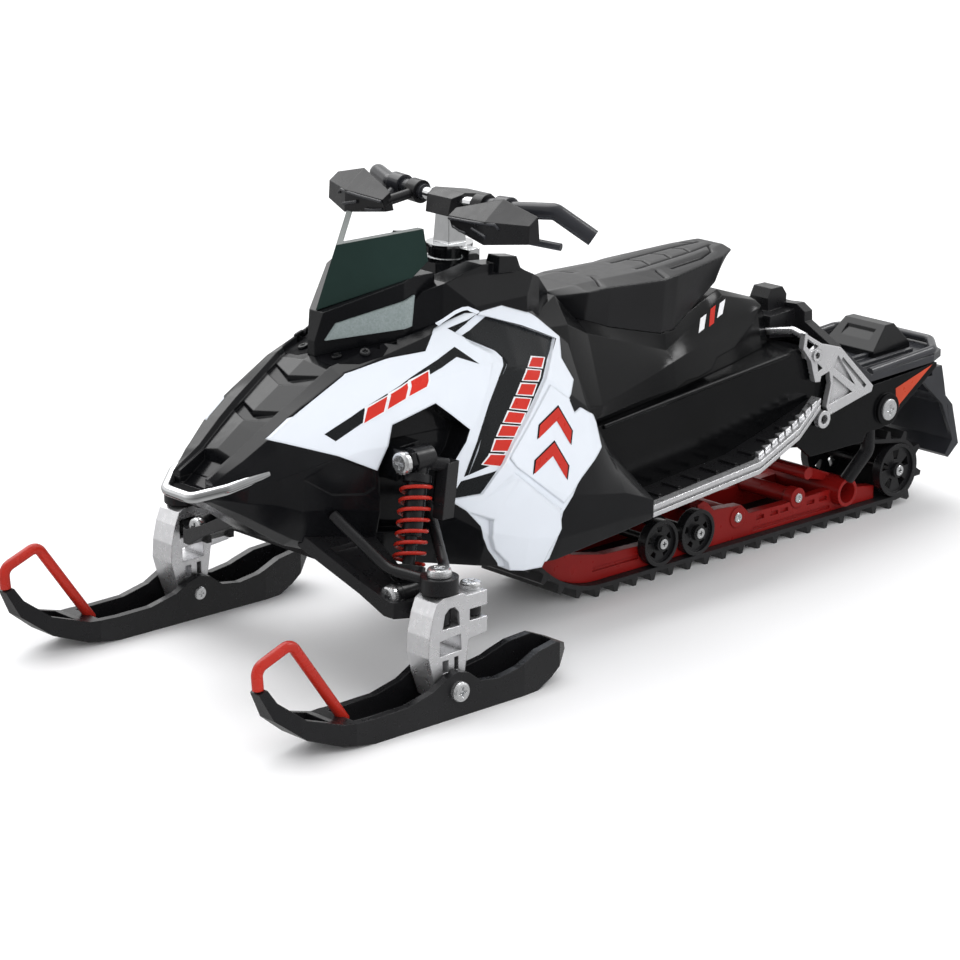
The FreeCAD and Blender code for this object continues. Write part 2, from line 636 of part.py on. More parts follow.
def rear_link():
    """A bent bar from under the tunnel, past the track, to the top of the cross tube."""
    y = TRACK_HALF_WIDTH + LINK_SIDE_GAP + LINK_R
    bar = bent_tube([V(-72.1, y, 22.4), V(-72.3, y, 14.4), V(-69.0, y - 2.3, 8.4)], 3.4, LINK_R)
    return bar.cut(cross_rod(CLIP_X, CLIP_Z, 20, CLIP_BORE_R))


# Tunnel: folded sheet over the track, running boards and the bright rails along them

TUNNEL_TOP = [(34.0, 33.0), (4.0, 33.4), (-49.0, 38.6), (-53.0, 38.2), (-69.5, 27.6), (-90.5, 29.0)]
TUNNEL_LOW = [
    (-90.5, 28.2), (-89.3, 27.4), (-79.3, 20.9), (-77.4, 19.4), (-74.6, 18.6), (-70.2, 18.6), (-69.2, 16.8),
    (-54.0, 16.8), (-49.0, 20.6), (-46.0, 22.0), (-30.0, 20.6), (-2.0, 18.2), (34.0, 17.0),
]


def tunnel():
    outer = prism_xz(TUNNEL_TOP + TUNNEL_LOW, -TUNNEL_HALF, TUNNEL_HALF)
    inside = [(x, z - SHEET) for x, z in TUNNEL_TOP] + [(-90.5, 0.0), (34.0, 0.0)]
    body = outer.cut(prism_xz(inside, -TUNNEL_INNER, TUNNEL_INNER))
    bosses = []
    for side in (1, -1):
        start = V(REAR_BOLT_X, side * TUNNEL_INNER, REAR_BOLT_Z)
        bosses.append(rod(start, start + V(0, side * (SHEET + REAR_BOSS_HIGH), 0), REAR_BOSS_R))
    ridge = []
    for side in (1, -1):
        y = side * TUNNEL_HALF
        ridge.append(rod(V(2.0, y, 33.2), V(-47.0, y, 38.0), 0.45))
    return fused([body] + bosses + ridge)


def rear_bolt():
    start = V(REAR_BOLT_X, TUNNEL_HALF + REAR_BOSS_HIGH, REAR_BOLT_Z)
    return rod(start, start + V(0, 0.5, 0), 2.1)


def board():
    line = BOARD_LINE
    plate = prism_xz(line + [(x, z - BOARD_THICK) for x, z in reversed(line)], TUNNEL_HALF, BOARD_HALF)
    plan = [(-2.0, TUNNEL_HALF), (-53.0, TUNNEL_HALF), (-53.0, TUNNEL_HALF + 0.6), (-43.0, BOARD_HALF - 4.4),
            (-30.0, BOARD_HALF - EDGE_WIDTH), (-2.0, BOARD_HALF - EDGE_WIDTH)]
    plate = plate.common(prism_xy(plan, 0, 60))
    cleats = []
    for i in range(9):
        x = -7.0 - 5.0 * i
        width = BOARD_HALF - EDGE_WIDTH - 1.4 - 0.24 * max(0.0, -30.0 - x)
        cleats.append(box(x - 0.35, x + 0.35, TUNNEL_HALF + 1.6, width, 0, 60))
    skin = prism_xz([(x, z + 0.4) for x, z in line] + [(x, z - 0.5) for x, z in reversed(line)], 0, 30)
    raised = [c.common(skin) for c in cleats]
    return fused([plate] + raised)


def side_rail():
    """The bright edge of the board, with a serrated inner lip."""
    line = BOARD_LINE
    bar = prism_xz([(x, z + 0.5) for x, z in line] + [(x, z - 1.7) for x, z in reversed(line)], TUNNEL_HALF, 30)
    plan = [(-2.0, BOARD_HALF), (-30.0, BOARD_HALF), (-43.0, BOARD_HALF - 2.2), (-53.0, TUNNEL_HALF + 3.0),
            (-53.0, TUNNEL_HALF + 0.6), (-43.0, BOARD_HALF - 4.4), (-30.0, BOARD_HALF - EDGE_WIDTH),
            (-2.0, BOARD_HALF - EDGE_WIDTH)]
    body = bar.common(prism_xy(plan, 0, 60))
    groove = prism_xz([(x, z - 0.35) for x, z in line] + [(x, z - 0.85) for x, z in reversed(line)], 0, 60)
    outside = [(-1.0, BOARD_HALF - 0.35), (-30.0, BOARD_HALF - 0.35), (-43.0, BOARD_HALF - 2.55),
               (-53.5, TUNNEL_HALF + 2.6), (-53.5, 40.0), (-1.0, 40.0)]
    body = body.cut(groove.common(prism_xy(outside, 0, 60)))
    teeth = []
    for i in range(9):
        x = -31.0 - 2.3 * i
        inner = BOARD_HALF - EDGE_WIDTH - 0.19 * (-30.0 - x)
        teeth.append(prism_xy([(x, inner + 0.6), (x - 1.9, inner + 0.2), (x - 0.6, inner - 0.9)], 0, 60))
    lip = prism_xz([(x, z + 1.1) for x, z in line] + [(x, z) for x, z in reversed(line)], 0, 60)
    return fused([body] + [t.common(lip) for t in teeth])


def truss():
    """One side of the bright rear frame: a ringed head, two sunk triangles and a tie-down eye."""
    y_in = TUNNEL_HALF + TRUSS_GAP
    y_out = y_in + TRUSS_THICK
    outline = [
        (-49.4, 42.0), (-54.2, 39.2), (-59.5, 37.7), (-69.4, 28.4), (-69.0, 27.3), (-65.4, 26.6), (-57.0, 24.8),
        (-56.0, 26.6), (-57.1, 30.9), (-56.5, 33.5), (-54.2, 32.9), (-54.0, 31.9), (-52.6, 32.0), (-52.2, 33.1),
        (-51.2, 36.3), (-48.9, 39.0),
    ]
    ring = V(RING_X, y_in, RING_Z)
    head = rod(ring, ring + V(0, TRUSS_THICK + 0.3, 0), 1.15)
    eye = rod(V(EYE_X, y_in, EYE_Z), V(EYE_X, y_out, EYE_Z), EYE_R)
    body = fused([prism_xz(outline, y_in, y_out), eye, head])
    windows = [
        prism_xz([(-50.0, 40.9), (-53.2, 38.9), (-52.3, 38.4), (-51.0, 38.2), (-49.8, 39.4)], y_in - 1, y_out + 1),
        prism_xz([(-53.0, 35.7), (-54.6, 34.4), (-53.3, 33.9)], y_in - 1, y_out + 1),
        rod(ring + V(0, -1, 0), ring + V(0, 4, 0), 0.62),
        rod(V(EYE_X, y_in - 2, EYE_Z), V(EYE_X, y_out + 2, EYE_Z), EYE_BORE_R),
    ]
    sunk = [
        prism_xz([(-57.6, 32.5), (-57.7, 30.9), (-56.8, 26.9), (-63.4, 28.2)], y_out - TRUSS_RIB, y_out + 1),
        prism_xz([(-58.9, 36.2), (-64.2, 29.4), (-57.7, 34.0)], y_out - TRUSS_RIB, y_out + 1),
        prism_xz([(-60.3, 35.6), (-67.4, 28.9), (-66.8, 28.4), (-59.9, 35.0)], y_out - TRUSS_RIB, y_out + 1),
    ]
    return body.cut(windows + sunk)


def rear_frame():
    """Both trusses with the tube that joins their heads and the feet that seat them on the tunnel."""
    left = truss()
    foot_end = TUNNEL_HALF + TRUSS_GAP + 0.2
    feet = [rod(V(x, TUNNEL_HALF, z), V(x, foot_end, z), 1.0) for x, z in ((-51.4, 37.4), (-58.4, 29.4), (-66.6, 27.7))]
    y_mid = TUNNEL_HALF + TRUSS_GAP + TRUSS_THICK / 2
    path = [V(-50.0, y_mid, 41.2), V(-50.2, 11.2, 41.8), V(-50.4, 4.0, 40.2)]
    return fused([left, mirrored(left), bent_tube(across(path), 1.4, 0.7)] + feet + [mirrored(f) for f in feet])


DECK_SIDE = [(-59.4, 37.0), (-69.6, 28.6), (-95.2, 29.6), (-95.2, 31.0), (-70.6, 30.0), (-60.6, 37.6)]


def rear_deck():
    corner = [(-60.0, DECK_HALF), (-89.2, DECK_HALF), (-93.2, DECK_HALF - 1.6), (-95.2, DECK_HALF - 6.0)]
    slab = prism_xy(mirrored_plan(corner), 20, 60).common(prism_xz(DECK_SIDE, -20, 20))
    rim_path = [V(-71.0, DECK_HALF - 0.8, 30.3), V(-89.8, DECK_HALF - 0.8, 31.6), V(-94.4, DECK_HALF - 5.4, 32.0)]
    rim = bent_tube(across(rim_path), 2.4, 0.85)
    ribs = []
    for y in (-8.6, -4.6, 4.6, 8.6):
        ribs.append(prism_xz([(-71.5, 29.6), (-88.0, 30.4), (-88.0, 31.5), (-72.2, 30.8)], y - 0.5, y + 0.5))
    return fused([slab, rim] + ribs)


def tail_lamp():
    base = mirrored_front([(6.4, 29.0), (6.4, 31.2), (5.2, 36.0)])
    side = [(-79.4, 29.0), (-79.4, 31.6), (-84.2, 36.0), (-86.6, 36.0), (-90.2, 32.0), (-90.2, 29.0)]
    body = prism_yz(base, -92, -78).common(prism_xz(side, -8, 8))
    notch = prism_xz([(-79.0, 31.8), (-79.0, 37), (-83.6, 37), (-83.0, 34.4)], -3.6, 3.6)
    return body.cut(notch)


def snow_flap():
    side = [
        (-89.5, 28.0), (-92.4, 28.0), (-93.2, 25.0), (-94.0, 21.6), (-96.2, 19.4), (-98.6, 11.0), (-95.6, 8.6),
        (-94.6, 9.4), (-96.6, 12.0), (-94.6, 19.6), (-92.6, 21.8), (-91.4, 25.0), (-89.5, 26.4),
    ]
    body = prism_xz(side, -FLAP_HALF, FLAP_HALF)
    cheeks = prism_xz([(-86.0, 26.4), (-92.2, 26.4), (-94.4, 19.8), (-96.4, 13.0), (-93.0, 20.0)], FLAP_HALF - 0.9, FLAP_HALF)
    return fused([body, cheeks, mirrored(cheeks)])


# Body: one faceted hull, split into the white side panels and the black pieces

TRACK_ROOM = TUNNEL_HALF + 0.2
HULL = [
    # x, then from the bottom to the centre strip as (y, z), then the height on the centre line
    (84.0, (3.0, 33.6), (4.6, 34.0), (5.4, 34.6), (5.8, 35.4), (5.6, 36.4), (5.2, 37.2), (4.4, 38.0), (3.8, 37.6), 38.2),
    (79.0, (4.5, 30.0), (6.8, 31.2), (8.0, 33.5), (8.8, 37.0), (8.2, 39.4), (7.1, 40.6), (4.4, 41.0), (3.9, 40.2), 41.0),
    (74.0, (5.4, 26.6), (8.0, 28.0), (9.6, 32.5), (10.8, 37.2), (9.6, 42.2), (8.6, 44.2), (5.2, 44.6), (4.6, 43.6), 44.4),
    (70.0, (6.0, 24.0), (8.6, 25.6), (11.0, 31.0), (12.2, 38.2), (10.6, 43.4), (9.0, 46.8), (5.7, 47.2), (5.1, 46.2), 46.8),
    (60.0, (7.5, 20.4), (10.4, 21.2), (13.8, 30.0), (15.2, 40.4), (13.6, 46.4), (9.6, 52.0), (6.8, 53.2), (6.2, 52.3), 53.0),
    (52.0, (9.0, 18.2), (12.0, 18.9), (16.0, 28.0), (17.6, 41.0), (15.6, 49.5), (10.8, 54.2), (8.6, 55.4), (8.0, 54.8), 55.4),
    (44.0, (10.5, 16.4), (14.2, 17.2), (18.0, 27.0), (19.6, 41.0), (17.6, 51.0), (12.8, 56.6), (11.2, 57.4), (10.6, 56.8), 57.0),
    (36.0, (12.0, 15.4), (17.6, 15.8), (19.6, 22.0), (20.9, 36.0), (18.6, 51.5), (14.0, 59.4), (12.6, 60.2), (12.0, 59.6), 58.4),
    (28.0, (TRACK_ROOM, 14.8), (19.3, 14.3), (20.6, 19.4), (21.6, 31.0), (18.8, 50.0), (14.4, 59.6), (13.2, 60.4), (12.6, 59.8), 58.4),
    (20.0, (TRACK_ROOM, 15.2), (20.0, 14.0), (21.4, 18.2), (22.0, 26.0), (18.8, 46.0), (14.6, 56.6), (13.2, 57.4), (12.6, 56.8), 56.0),
    (12.0, (TRACK_ROOM, 15.8), (20.8, 15.2), (21.8, 18.4), (22.0, 24.6), (19.0, 40.0), (14.2, 50.4), (12.8, 51.2), (12.0, 50.6), 50.0),
    (5.0, (TRACK_ROOM, 16.4), (21.4, 16.2), (22.1, 18.8), (22.1, 23.6), (18.6, 29.6), (14.4, 34.0), (13.8, 34.6), (13.4, 34.4), 34.4),
    (-2.0, (TRACK_ROOM, 17.4), (21.8, 17.3), (22.2, 18.4), (22.2, 21.0), (18.0, 23.6), (14.2, 26.0), (13.8, 26.4), (13.5, 26.2), 26.2),
]


def hull(inset):
    """The whole faceted body, drawn in by a distance on each side and on top."""
    sections = []
    for x, *corners, centre_z in HULL:
        left = []
        for i, (y, z) in enumerate(corners):
            rise = 0.5 if i < 2 else -0.5
            left.append(V(x, y - inset, z + rise * inset))
        right = [V(p.x, -p.y, p.z) for p in reversed(left)]
        sections.append(left + [V(x, 0, centre_z - inset)] + right)
    return loft(sections)


SIDE_PANEL = [
    (75.6, 43.9), (67.5, 48.1), (59.2, 52.3), (51.0, 54.0), (45.2, 54.6), (42.6, 57.2), (39.6, 59.4), (33.4, 60.6),
    (25.6, 60.6), (14.2, 52.0), (15.6, 48.8), (13.6, 44.8), (16.6, 42.0), (15.6, 39.6), (13.8, 40.2), (9.8, 38.0),
    (9.2, 32.4), (15.7, 28.4), (20.1, 23.1), (21.6, 14.6), (24.0, 12.0), (31.0, 12.0), (32.6, 15.8), (35.2, 18.9),
    (36.5, 21.2), (37.4, 23.6), (40.3, 26.8), (43.8, 29.3), (43.8, 35.4), (40.3, 41.3), (46.4, 46.6), (54.5, 44.0),
    (57.3, 36.5), (64.3, 40.0), (72.8, 43.0),
]
WELL = [(54.4, 43.9), (46.4, 46.4), (40.5, 41.3), (44.0, 35.2), (44.0, 28.0), (47.0, 24.0), (55.6, 25.0), (57.0, 36.4)]
RECESS = [
    (39.4, 57.2), (34.0, 59.1), (31.5, 58.4), (24.4, 55.7), (16.0, 52.1), (19.6, 48.8), (26.3, 41.6), (31.4, 36.8),
    (34.6, 33.1), (37.5, 29.4), (43.3, 29.3), (41.0, 32.8), (38.3, 39.5), (35.4, 44.6), (32.5, 48.7), (30.9, 50.9),
    (32.1, 53.0), (37.8, 56.1),
]
# The sloped left wall of the recess: its outer line, and the line where it meets the floor
WALL = [
    (V(36.9, 16.4, 54.9), V(37.8, 15.4, 56.1)), (V(33.9, 17.6, 53.0), V(32.0, 17.5, 53.0)),
    (V(34.0, 18.4, 51.6), V(30.8, 18.4, 51.0)), (V(35.4, 19.1, 48.0), V(32.5, 19.0, 48.7)),
    (V(38.2, 19.6, 43.4), V(35.4, 19.6, 44.6)), (V(41.3, 20.0, 38.9), V(38.3, 20.2, 39.5)),
    (V(43.0, 18.9, 32.9), V(40.9, 19.4, 32.9)), (V(44.2, 18.3, 29.2), V(43.3, 18.5, 29.3)),
]
BOSS = [
    (30.9, 31.2), (21.4, 23.3), (21.0, 20.4), (22.8, 17.0), (24.2, 13.0), (30.2, 13.0), (31.4, 15.9), (34.4, 18.8),
    (35.6, 21.4), (35.8, 24.4),
]
BOSS_EDGE = [
    (V(40.3, 19.0, 26.8), V(35.8, 19.9, 24.4)), (V(31.4, 21.2, 32.4), V(30.9, 21.2, 31.2)),
    (V(20.2, 21.7, 23.9), V(21.4, 21.6, 23.3)),
]
STEP_PLATE = [
    (21.0, 45.5), (12.0, 39.0), (9.0, 38.0), (9.0, 32.0), (15.7, 28.4), (20.2, 24.8), (31.0, 33.3), (32.3, 35.0),
    (31.4, 36.0), (26.3, 40.7),
]
PAN_PLATE = [(70.2, 36.7), (64.0, 39.6), (57.9, 36.6), (57.3, 33.6), (59.0, 32.5), (64.8, 33.2)]
PAN_LINES = [
    [(78.0, 35.4), (72.5, 30.1), (64.7, 29.0)], [(77.1, 36.2), (72.1, 32.3), (65.2, 31.6)],
    [(75.2, 36.9), (70.6, 33.5), (64.4, 27.6), (59.8, 24.4)],
]
OUTWARD = V(0, 1, 0.5)
HOOD_SLOPE = 0.63
CREST_X = 71.0
CREST_Z = 46.2


def slope_z(x):
    """Height of the middle strip of the hood."""
    return CREST_Z + (CREST_X - x) * HOOD_SLOPE


def skin(outer_inset, inner_inset, *outlines):
    """A layer of the hull's left side, inside outlines in side view and outside the crest line."""
    layer = hull(outer_inset).cut(hull(inner_inset))
    crest = [(row[0], row[6][0] - 0.7) for row in HULL]
    outside = prism_xy(crest + [(HULL[-1][0], 40.0), (HULL[0][0], 40.0)], 0, 100)
    inside = [prism_xz(outline, 0, 40) for outline in outlines]
    return layer.common(outside).common(Part.makeCompound(inside))


def sloped(lines, edge_high, inner_high, far_high):
    """A slope along pairs of points on the hull, closed at a further height and carried on past the second."""
    stations = []
    for edge, inner in lines:
        beyond = inner + (inner - edge).normalize() * 0.7
        stations.append([edge + OUTWARD * edge_high, inner + OUTWARD * inner_high, beyond + OUTWARD * inner_high,
                         beyond + OUTWARD * far_high, edge + OUTWARD * far_high])
    return faceted(stations)


def side_panel():
    """The white panel: a stepped plate, a raised boss below, and a recess with one sloped wall."""
    panel = skin(0, PANEL_THICK, SIDE_PANEL)
    raised = [skin(-BOSS_HIGH, 0.2, BOSS), skin(-0.3, 0.2, STEP_PLATE), sloped(BOSS_EDGE, -0.1, BOSS_HIGH - 0.05, -0.5)]
    outside = prism_xz(SIDE_PANEL, 0, 40)
    recess = skin(-1.5, RECESS_DEEP, RECESS)
    wall = sloped(WALL, 0.0, 0.03 - RECESS_DEEP, 2.0)
    return fused([panel] + [r.common(outside) for r in raised]).cut([recess, wall])


def pan_grooves():
    """The sunk plate and the step lines on the side of the belly pan."""
    lines = []
    for line in PAN_LINES:
        lines.append(line + [(x - 0.25, z - 0.4) for x, z in reversed(line)])
    return skin(-1.0, 0.3, PAN_PLATE, *lines)


def chevrons():
    """The two stepped grooves across the hood and the hollow at its nose."""
    above = prism_xz([(86, slope_z(86) - 1.2), (55, slope_z(55) - 1.2), (55, 80), (86, 80)], -8, 8)
    cuts = []
    for apex, half in ((73.0, 4.9), (65.4, 5.8)):
        back = 0.36 * half
        band = [(apex, 0), (apex - back, half), (apex - back - 2.0, half)]
        cuts.append(prism_xy(band + [(apex - 2.0, 0)], 20, 80).common(above))
        cuts.append(mirrored(cuts[-1]))
    nose = prism_xz([(78.8, 38.6), (83.0, 35.6), (86.0, 35.6), (86.0, 46.0), (78.8, 46.0)], -3.3, 3.3)
    return cuts + [nose]


def hood_vents():
    """Three small openings in front of each headlight."""
    cuts = []
    for x, y in ((54.6, 7.4), (51.6, 8.5), (48.8, 9.6)):
        outline = [(x + 1.3, y - 0.7), (x - 1.2, y - 0.2), (x - 0.2, y + 1.0)]
        cut = prism_xy(outline, 53.6, 62)
        cuts += [cut, mirrored(cut)]
    return cuts


def track_room():
    outline = list(TUNNEL_TOP) + [(-95.0, 0.0), (34.0, 0.0)]
    return prism_xz(outline, -TUNNEL_HALF, TUNNEL_HALF)


def body_pieces():
    """The left side panel, the hood above and the belly pan below."""
    panel = side_panel()
    whole = hull(0)
    under_panel = skin(-1.5, PANEL_THICK, SIDE_PANEL)
    well = skin(-1.0, 4.0, WELL)
    rest = whole.cut([under_panel, mirrored(under_panel), well, mirrored(well), track_room()])
    post_bore = rod(V(STEERING_AXIS_X, 0, 50.0), V(STEERING_AXIS_X, 0, 72.0), COLUMN_R + RUNNING_GAP)
    rest = rest.cut([post_bore] + chevrons() + hood_vents())
    upper = [(90.0, 36.4), (75.0, 37.0), (64.0, 39.8), (44.0, 41.0), (20.0, 38.0), (-10.0, 30.0), (-10.0, 90.0), (90.0, 90.0)]
    split = prism_xz(upper, -40, 40)
    tower = shock_tower().cut(rest)
    grooves = pan_grooves()
    belly = fused([rest.cut([split, grooves, mirrored(grooves)]), tower.cut(split), mirrored(tower.cut(split))])
    return panel, rest.common(split), belly


def console():
    """The black housing between the windshield and the seat, hollow round the steering post."""
    side = [
        (46.0, 54.0), (46.0, 60.5), (43.0, 64.0), (39.5, 65.2), (34.7, 66.2), (31.0, 67.0), (24.0, 66.4), (21.3, 64.6),
        (17.5, 62.8), (12.0, 58.9), (11.5, 56.6), (14.0, 50.0), (46.0, 50.0),
    ]
    plan = [(46.0, 9.4), (40.0, 12.6), (34.0, 14.2), (22.0, 14.2), (17.0, 12.0), (11.0, 8.2)]
    front = [(15.4, 48.0), (14.2, 60.5), (12.6, 65.5), (12.0, 70.0)]
    body = prism_xz(side, -16, 16)
    body = body.common(prism_xy(mirrored_plan(plan), 40, 80))
    body = body.common(prism_yz(mirrored_front(front), 0, 60))
    well = loft([
        [V(42.0, 7.0, 63.4), V(42.0, -7.0, 63.4), V(8.0, -7.0, 57.0), V(8.0, 7.0, 57.0)],
        [V(42.0, 9.4, 70.0), V(42.0, -9.4, 70.0), V(8.0, -9.4, 70.0), V(8.0, 9.4, 70.0)],
    ])
    knob = loft([
        [V(28.6, 10.4, 65.4), V(28.6, 14.0, 65.4), V(23.2, 14.0, 65.0), V(23.2, 10.4, 65.0)],
        [V(28.0, 10.8, 68.2), V(28.0, 13.6, 68.2), V(24.0, 13.6, 67.6), V(24.0, 10.8, 67.6)],
    ])
    post_bore = rod(V(STEERING_AXIS_X, 0, 50.0), V(STEERING_AXIS_X, 0, 72.0), COLUMN_R + RUNNING_GAP)
    return fused([body.cut(well), knob, mirrored(knob)]).cut(post_bore)


LENS_SIDE = [(57.1, 56.2), (55.6, 59.1), (44.4, 63.5), (45.0, 58.2)]


def headlight_housing():
    side = [(58.4, 52.0), (58.4, 56.0), (57.2, 60.9), (44.6, 66.6), (40.0, 66.6), (40.0, 52.0)]
    plan = [(58.4, 0.9), (46.4, 9.9), (40.0, 10.4)]
    return prism_xz(side, -12, 12).common(prism_xy(mirrored_plan(plan), 40, 80))


def lens():
    """One grey lens, let into the side of the headlight housing and standing a little proud."""
    plan = [(58.7, 1.1), (46.5, 10.3), (43.5, 10.5), (43.5, 8.9), (45.9, 8.9), (57.4, 0.3)]
    return prism_xy(plan, 50, 70).common(prism_xz(LENS_SIDE, 0.2, 14))


WINDSHIELD = [(57.8, 60.8), (53.2, 71.4), (41.9, 74.3), (42.4, 69.2), (44.9, 66.4)]


def windshield():
    """Two flat smoked panes that meet on the centre line, each leaning out and back."""
    foot = V(57.5, 0, 60.6)
    top = V(53.0, 0, 71.0)
    corner = V(41.9, 9.9, 74.1)
    up = (top - foot).normalize() * 40
    normal = (corner - foot).cross(top - foot).normalize()
    across_pane = normal.cross(up)
    pane = Part.Face(wire_of([foot - up - across_pane, foot - up + across_pane, foot + up + across_pane,
                              foot + up - across_pane]))
    left = pane.extrude(normal * -1.0).common(prism_xz(WINDSHIELD, 0, 14))
    return fused([left, mirrored(left)])


def front_bumper():
    points = [V(75.4, 9.0, 38.2), V(82.4, 7.0, 36.4), V(87.0, 3.4, 35.0)]
    return bent_tube(across(points), 2.2, 0.95)


# Seat and the fairing below it

PLATE_EDGE = [
    (20.0, 33.6), (2.4, 35.1), (-8.2, 36.0), (-18.1, 36.4), (-21.1, 37.2), (-24.7, 37.2), (-28.6, 37.8), (-30.7, 39.6),
    (-36.2, 40.4), (-42.7, 43.5), (-45.4, 46.1),
]


def fairing_body(inset):
    foot = TUNNEL_HALF
    sections = []
    for x, low, crease, upper, top in (
        (18.0, (foot, 33.2), (foot + 2.0, 39.4), (foot + 0.8, 54.0), (12.0, 56.0)),
        (10.0, (foot, 33.2), (foot + 1.6, 38.4), (foot - 1.2, 53.0), (8.6, 57.6)),
        (3.0, (foot, 33.4), (foot + 0.8, 37.4), (foot - 3.2, 49.8), (7.0, 52.0)),
        (-18.0, (foot - 1.0, 35.5), (foot - 1.9, 41.3), (foot - 4.0, 43.0), (8.8, 46.4)),
        (-36.0, (foot - 3.0, 37.3), (foot - 5.0, 44.3), (foot - 7.2, 49.8), (4.6, 50.8)),
        (-46.0, (foot - 4.8, 38.3), (foot - 6.4, 46.3), (foot - 8.0, 47.2), (3.6, 47.6)),
        (-49.6, (foot - 6.6, 38.4), (foot - 8.0, 44.2), (foot - 9.2, 45.2), (3.0, 45.4)),
    ):
        left = [V(x, y - inset, z) for y, z in (low, crease, upper, top)]
        sections.append(left + [V(p.x, -p.y, p.z) for p in reversed(left)])
    return loft(sections)


def seat_base():
    """The fairing under the cushion: an outer plate over a narrower foot."""
    plate = prism_xz(PLATE_EDGE + [(-50.0, 48.0), (-50.0, 60.0), (20.0, 60.0)], -20, 20)
    return fused([fairing_body(1.2), fairing_body(0).common(plate)])


def seat():
    sections = []
    for x, low, shoulder, crown in (
        (5.6, (2.6, 54.0), (3.6, 55.4), 56.4), (1.0, (7.0, 50.4), (8.0, 56.4), 57.2), (-4.0, (8.0, 49.4), (8.6, 56.7), 57.4),
        (-17.0, (8.8, 46.2), (9.6, 56.2), 57.4), (-20.6, (8.4, 46.2), (9.4, 56.5), 57.6), (-35.0, (5.0, 52.2), (7.0, 57.5), 58.4),
        (-39.0, (3.8, 57.0), (5.4, 57.9), 58.6),
    ):
        left = [V(x, low[0], low[1]), V(x, shoulder[0], shoulder[1]), V(x, shoulder[0] * 0.55, crown)]
        sections.append(left + [V(p.x, -p.y, p.z) for p in reversed(left)])
    return loft(sections)


def rear_saddle():
    """The black bracket behind the seat, and the arch behind it that stands on both trusses."""
    block = prism_xz([(-53.0, 40.0), (-52.8, 45.8), (-53.8, 47.6), (-56.8, 47.6), (-58.0, 46.0), (-57.8, 40.0)], -2.3, 2.3)
    bridge = prism_xz([(-50.5, 39.0), (-50.5, 43.2), (-57.8, 43.6), (-57.8, 38.0), (-54.0, 38.6)], -5.0, 5.0)
    end = TUNNEL_HALF + TRUSS_GAP + TRUSS_THICK
    profile = [(end, 37.2), (end, 37.9), (end - 5.4, 40.6), (7.6, 41.6), (7.5, 43.5), (5.4, 44.7), (2.2, 44.4)]
    arch = prism_yz(mirrored_front([(4.0, 37.4), (6.4, 38.8), (end - 4.3, 37.4)] + profile), -59.6, -57.4)
    return fused([block, bridge, arch])


# Steering: the bright column, the bar with its grips, guards and levers

def steering_column():
    """A round collar with a clamp ear on a shaft, and a square post that narrows towards the bar."""
    axis = V(STEERING_AXIS_X, 0, 0)
    shaft = rod(axis + V(0, 0, 55.0), axis + V(0, 0, 65.4), COLUMN_R)
    collar = rod(axis + V(0, 0, 65.2), axis + V(0, 0, 68.4), COLLAR_R)
    lip = rod(axis + V(0, 0, 66.0), axis + V(0, 0, 67.8), COLLAR_R + 1)
    band = lip.cut(rod(axis + V(0, 0, 65.0), axis + V(0, 0, 69.0), COLLAR_R - 0.35))
    ear = box(axis.x - 1.4, axis.x + 1.2, COLLAR_R - 1.0, COLLAR_R + 2.0, 65.6, 68.0)
    post = loft([
        [V(axis.x - 2.0, -2.0, 68.4), V(axis.x + 2.0, -2.0, 68.4), V(axis.x + 2.0, 2.0, 68.4), V(axis.x - 2.0, 2.0, 68.4)],
        [V(axis.x - 1.6, -1.6, 75.4), V(axis.x + 1.6, -1.6, 75.4), V(axis.x + 1.6, 1.6, 75.4), V(axis.x - 1.6, 1.6, 75.4)],
    ])
    return fused([shaft, collar.cut(band), ear, post])


BAR_PATH = [V(19.6, 27.6, 72.4), V(23.6, 22.5, 76.7), V(26.4, 16.0, 76.3), V(27.0, 4.0, 75.8)]


def whole_bar(radius):
    return bent_tube(across(BAR_PATH), 1.8, radius)


def handlebar():
    return whole_bar(BAR_R).common(box(10, 40, -GRIP_START, GRIP_START, 60, 90))


def grip():
    """A rubber grip, open at its outer end."""
    tip, before = BAR_PATH[0], BAR_PATH[1]
    bore = rod(tip, tip + (before - tip).normalize() * 1.6, GRIP_R - 0.45)
    return whole_bar(GRIP_R).common(box(10, 40, GRIP_START, 40, 60, 90)).cut(bore)


def gauge_pod():
    side = [(30.0, 73.6), (29.4, 76.6), (26.9, 77.4), (20.0, 76.2), (18.8, 74.2), (24.0, 73.2)]
    plan = [(30.6, 2.6), (27.6, 3.8), (19.6, 3.0)]
    return prism_xz(side, -5, 5).common(prism_xy(mirrored_plan(plan), 60, 90))


def hand_guard():
    """A hollow faceted shell ahead of each grip, on a bracket clamped to the bar."""
    stations = (
        (8.4, (33.2, 76.5), (35.0, 75.4), (34.2, 73.2), (32.4, 73.2)),
        (17.7, (31.0, 79.1), (35.4, 75.8), (35.6, 71.9), (31.6, 71.9)),
        (25.4, (30.4, 77.2), (32.4, 75.9), (32.6, 72.8), (30.0, 72.8)),
    )
    outer = []
    inner = []
    for y, top, crease, low, back in stations:
        outer.append([V(x, y, z) for x, z in (top, crease, low, back)])
        inner.append([V(top[0] - 1.6, y, top[1] - 1.2), V(crease[0] - 1.4, y, crease[1] - 0.4),
                      V(low[0] - 1.4, y, low[1] + 1.0), V(back[0] - 1.6, y, back[1] + 1.0)])
    shell = loft(outer)
    hollow = loft(inner).common(box(0, 60, 9.6, 24.4, 60, 90))
    bracket = rod(V(26.9, GRIP_START + 2.0, 75.9), V(33.6, 9.2, 74.8), 0.9)
    ring = rod(V(26.9, GRIP_START + 0.8, 75.9), V(26.85, GRIP_START + 3.2, 76.0), GRIP_R + 0.6)
    return fused([shell.cut(hollow), bracket, ring]).cut(whole_bar(GRIP_R))


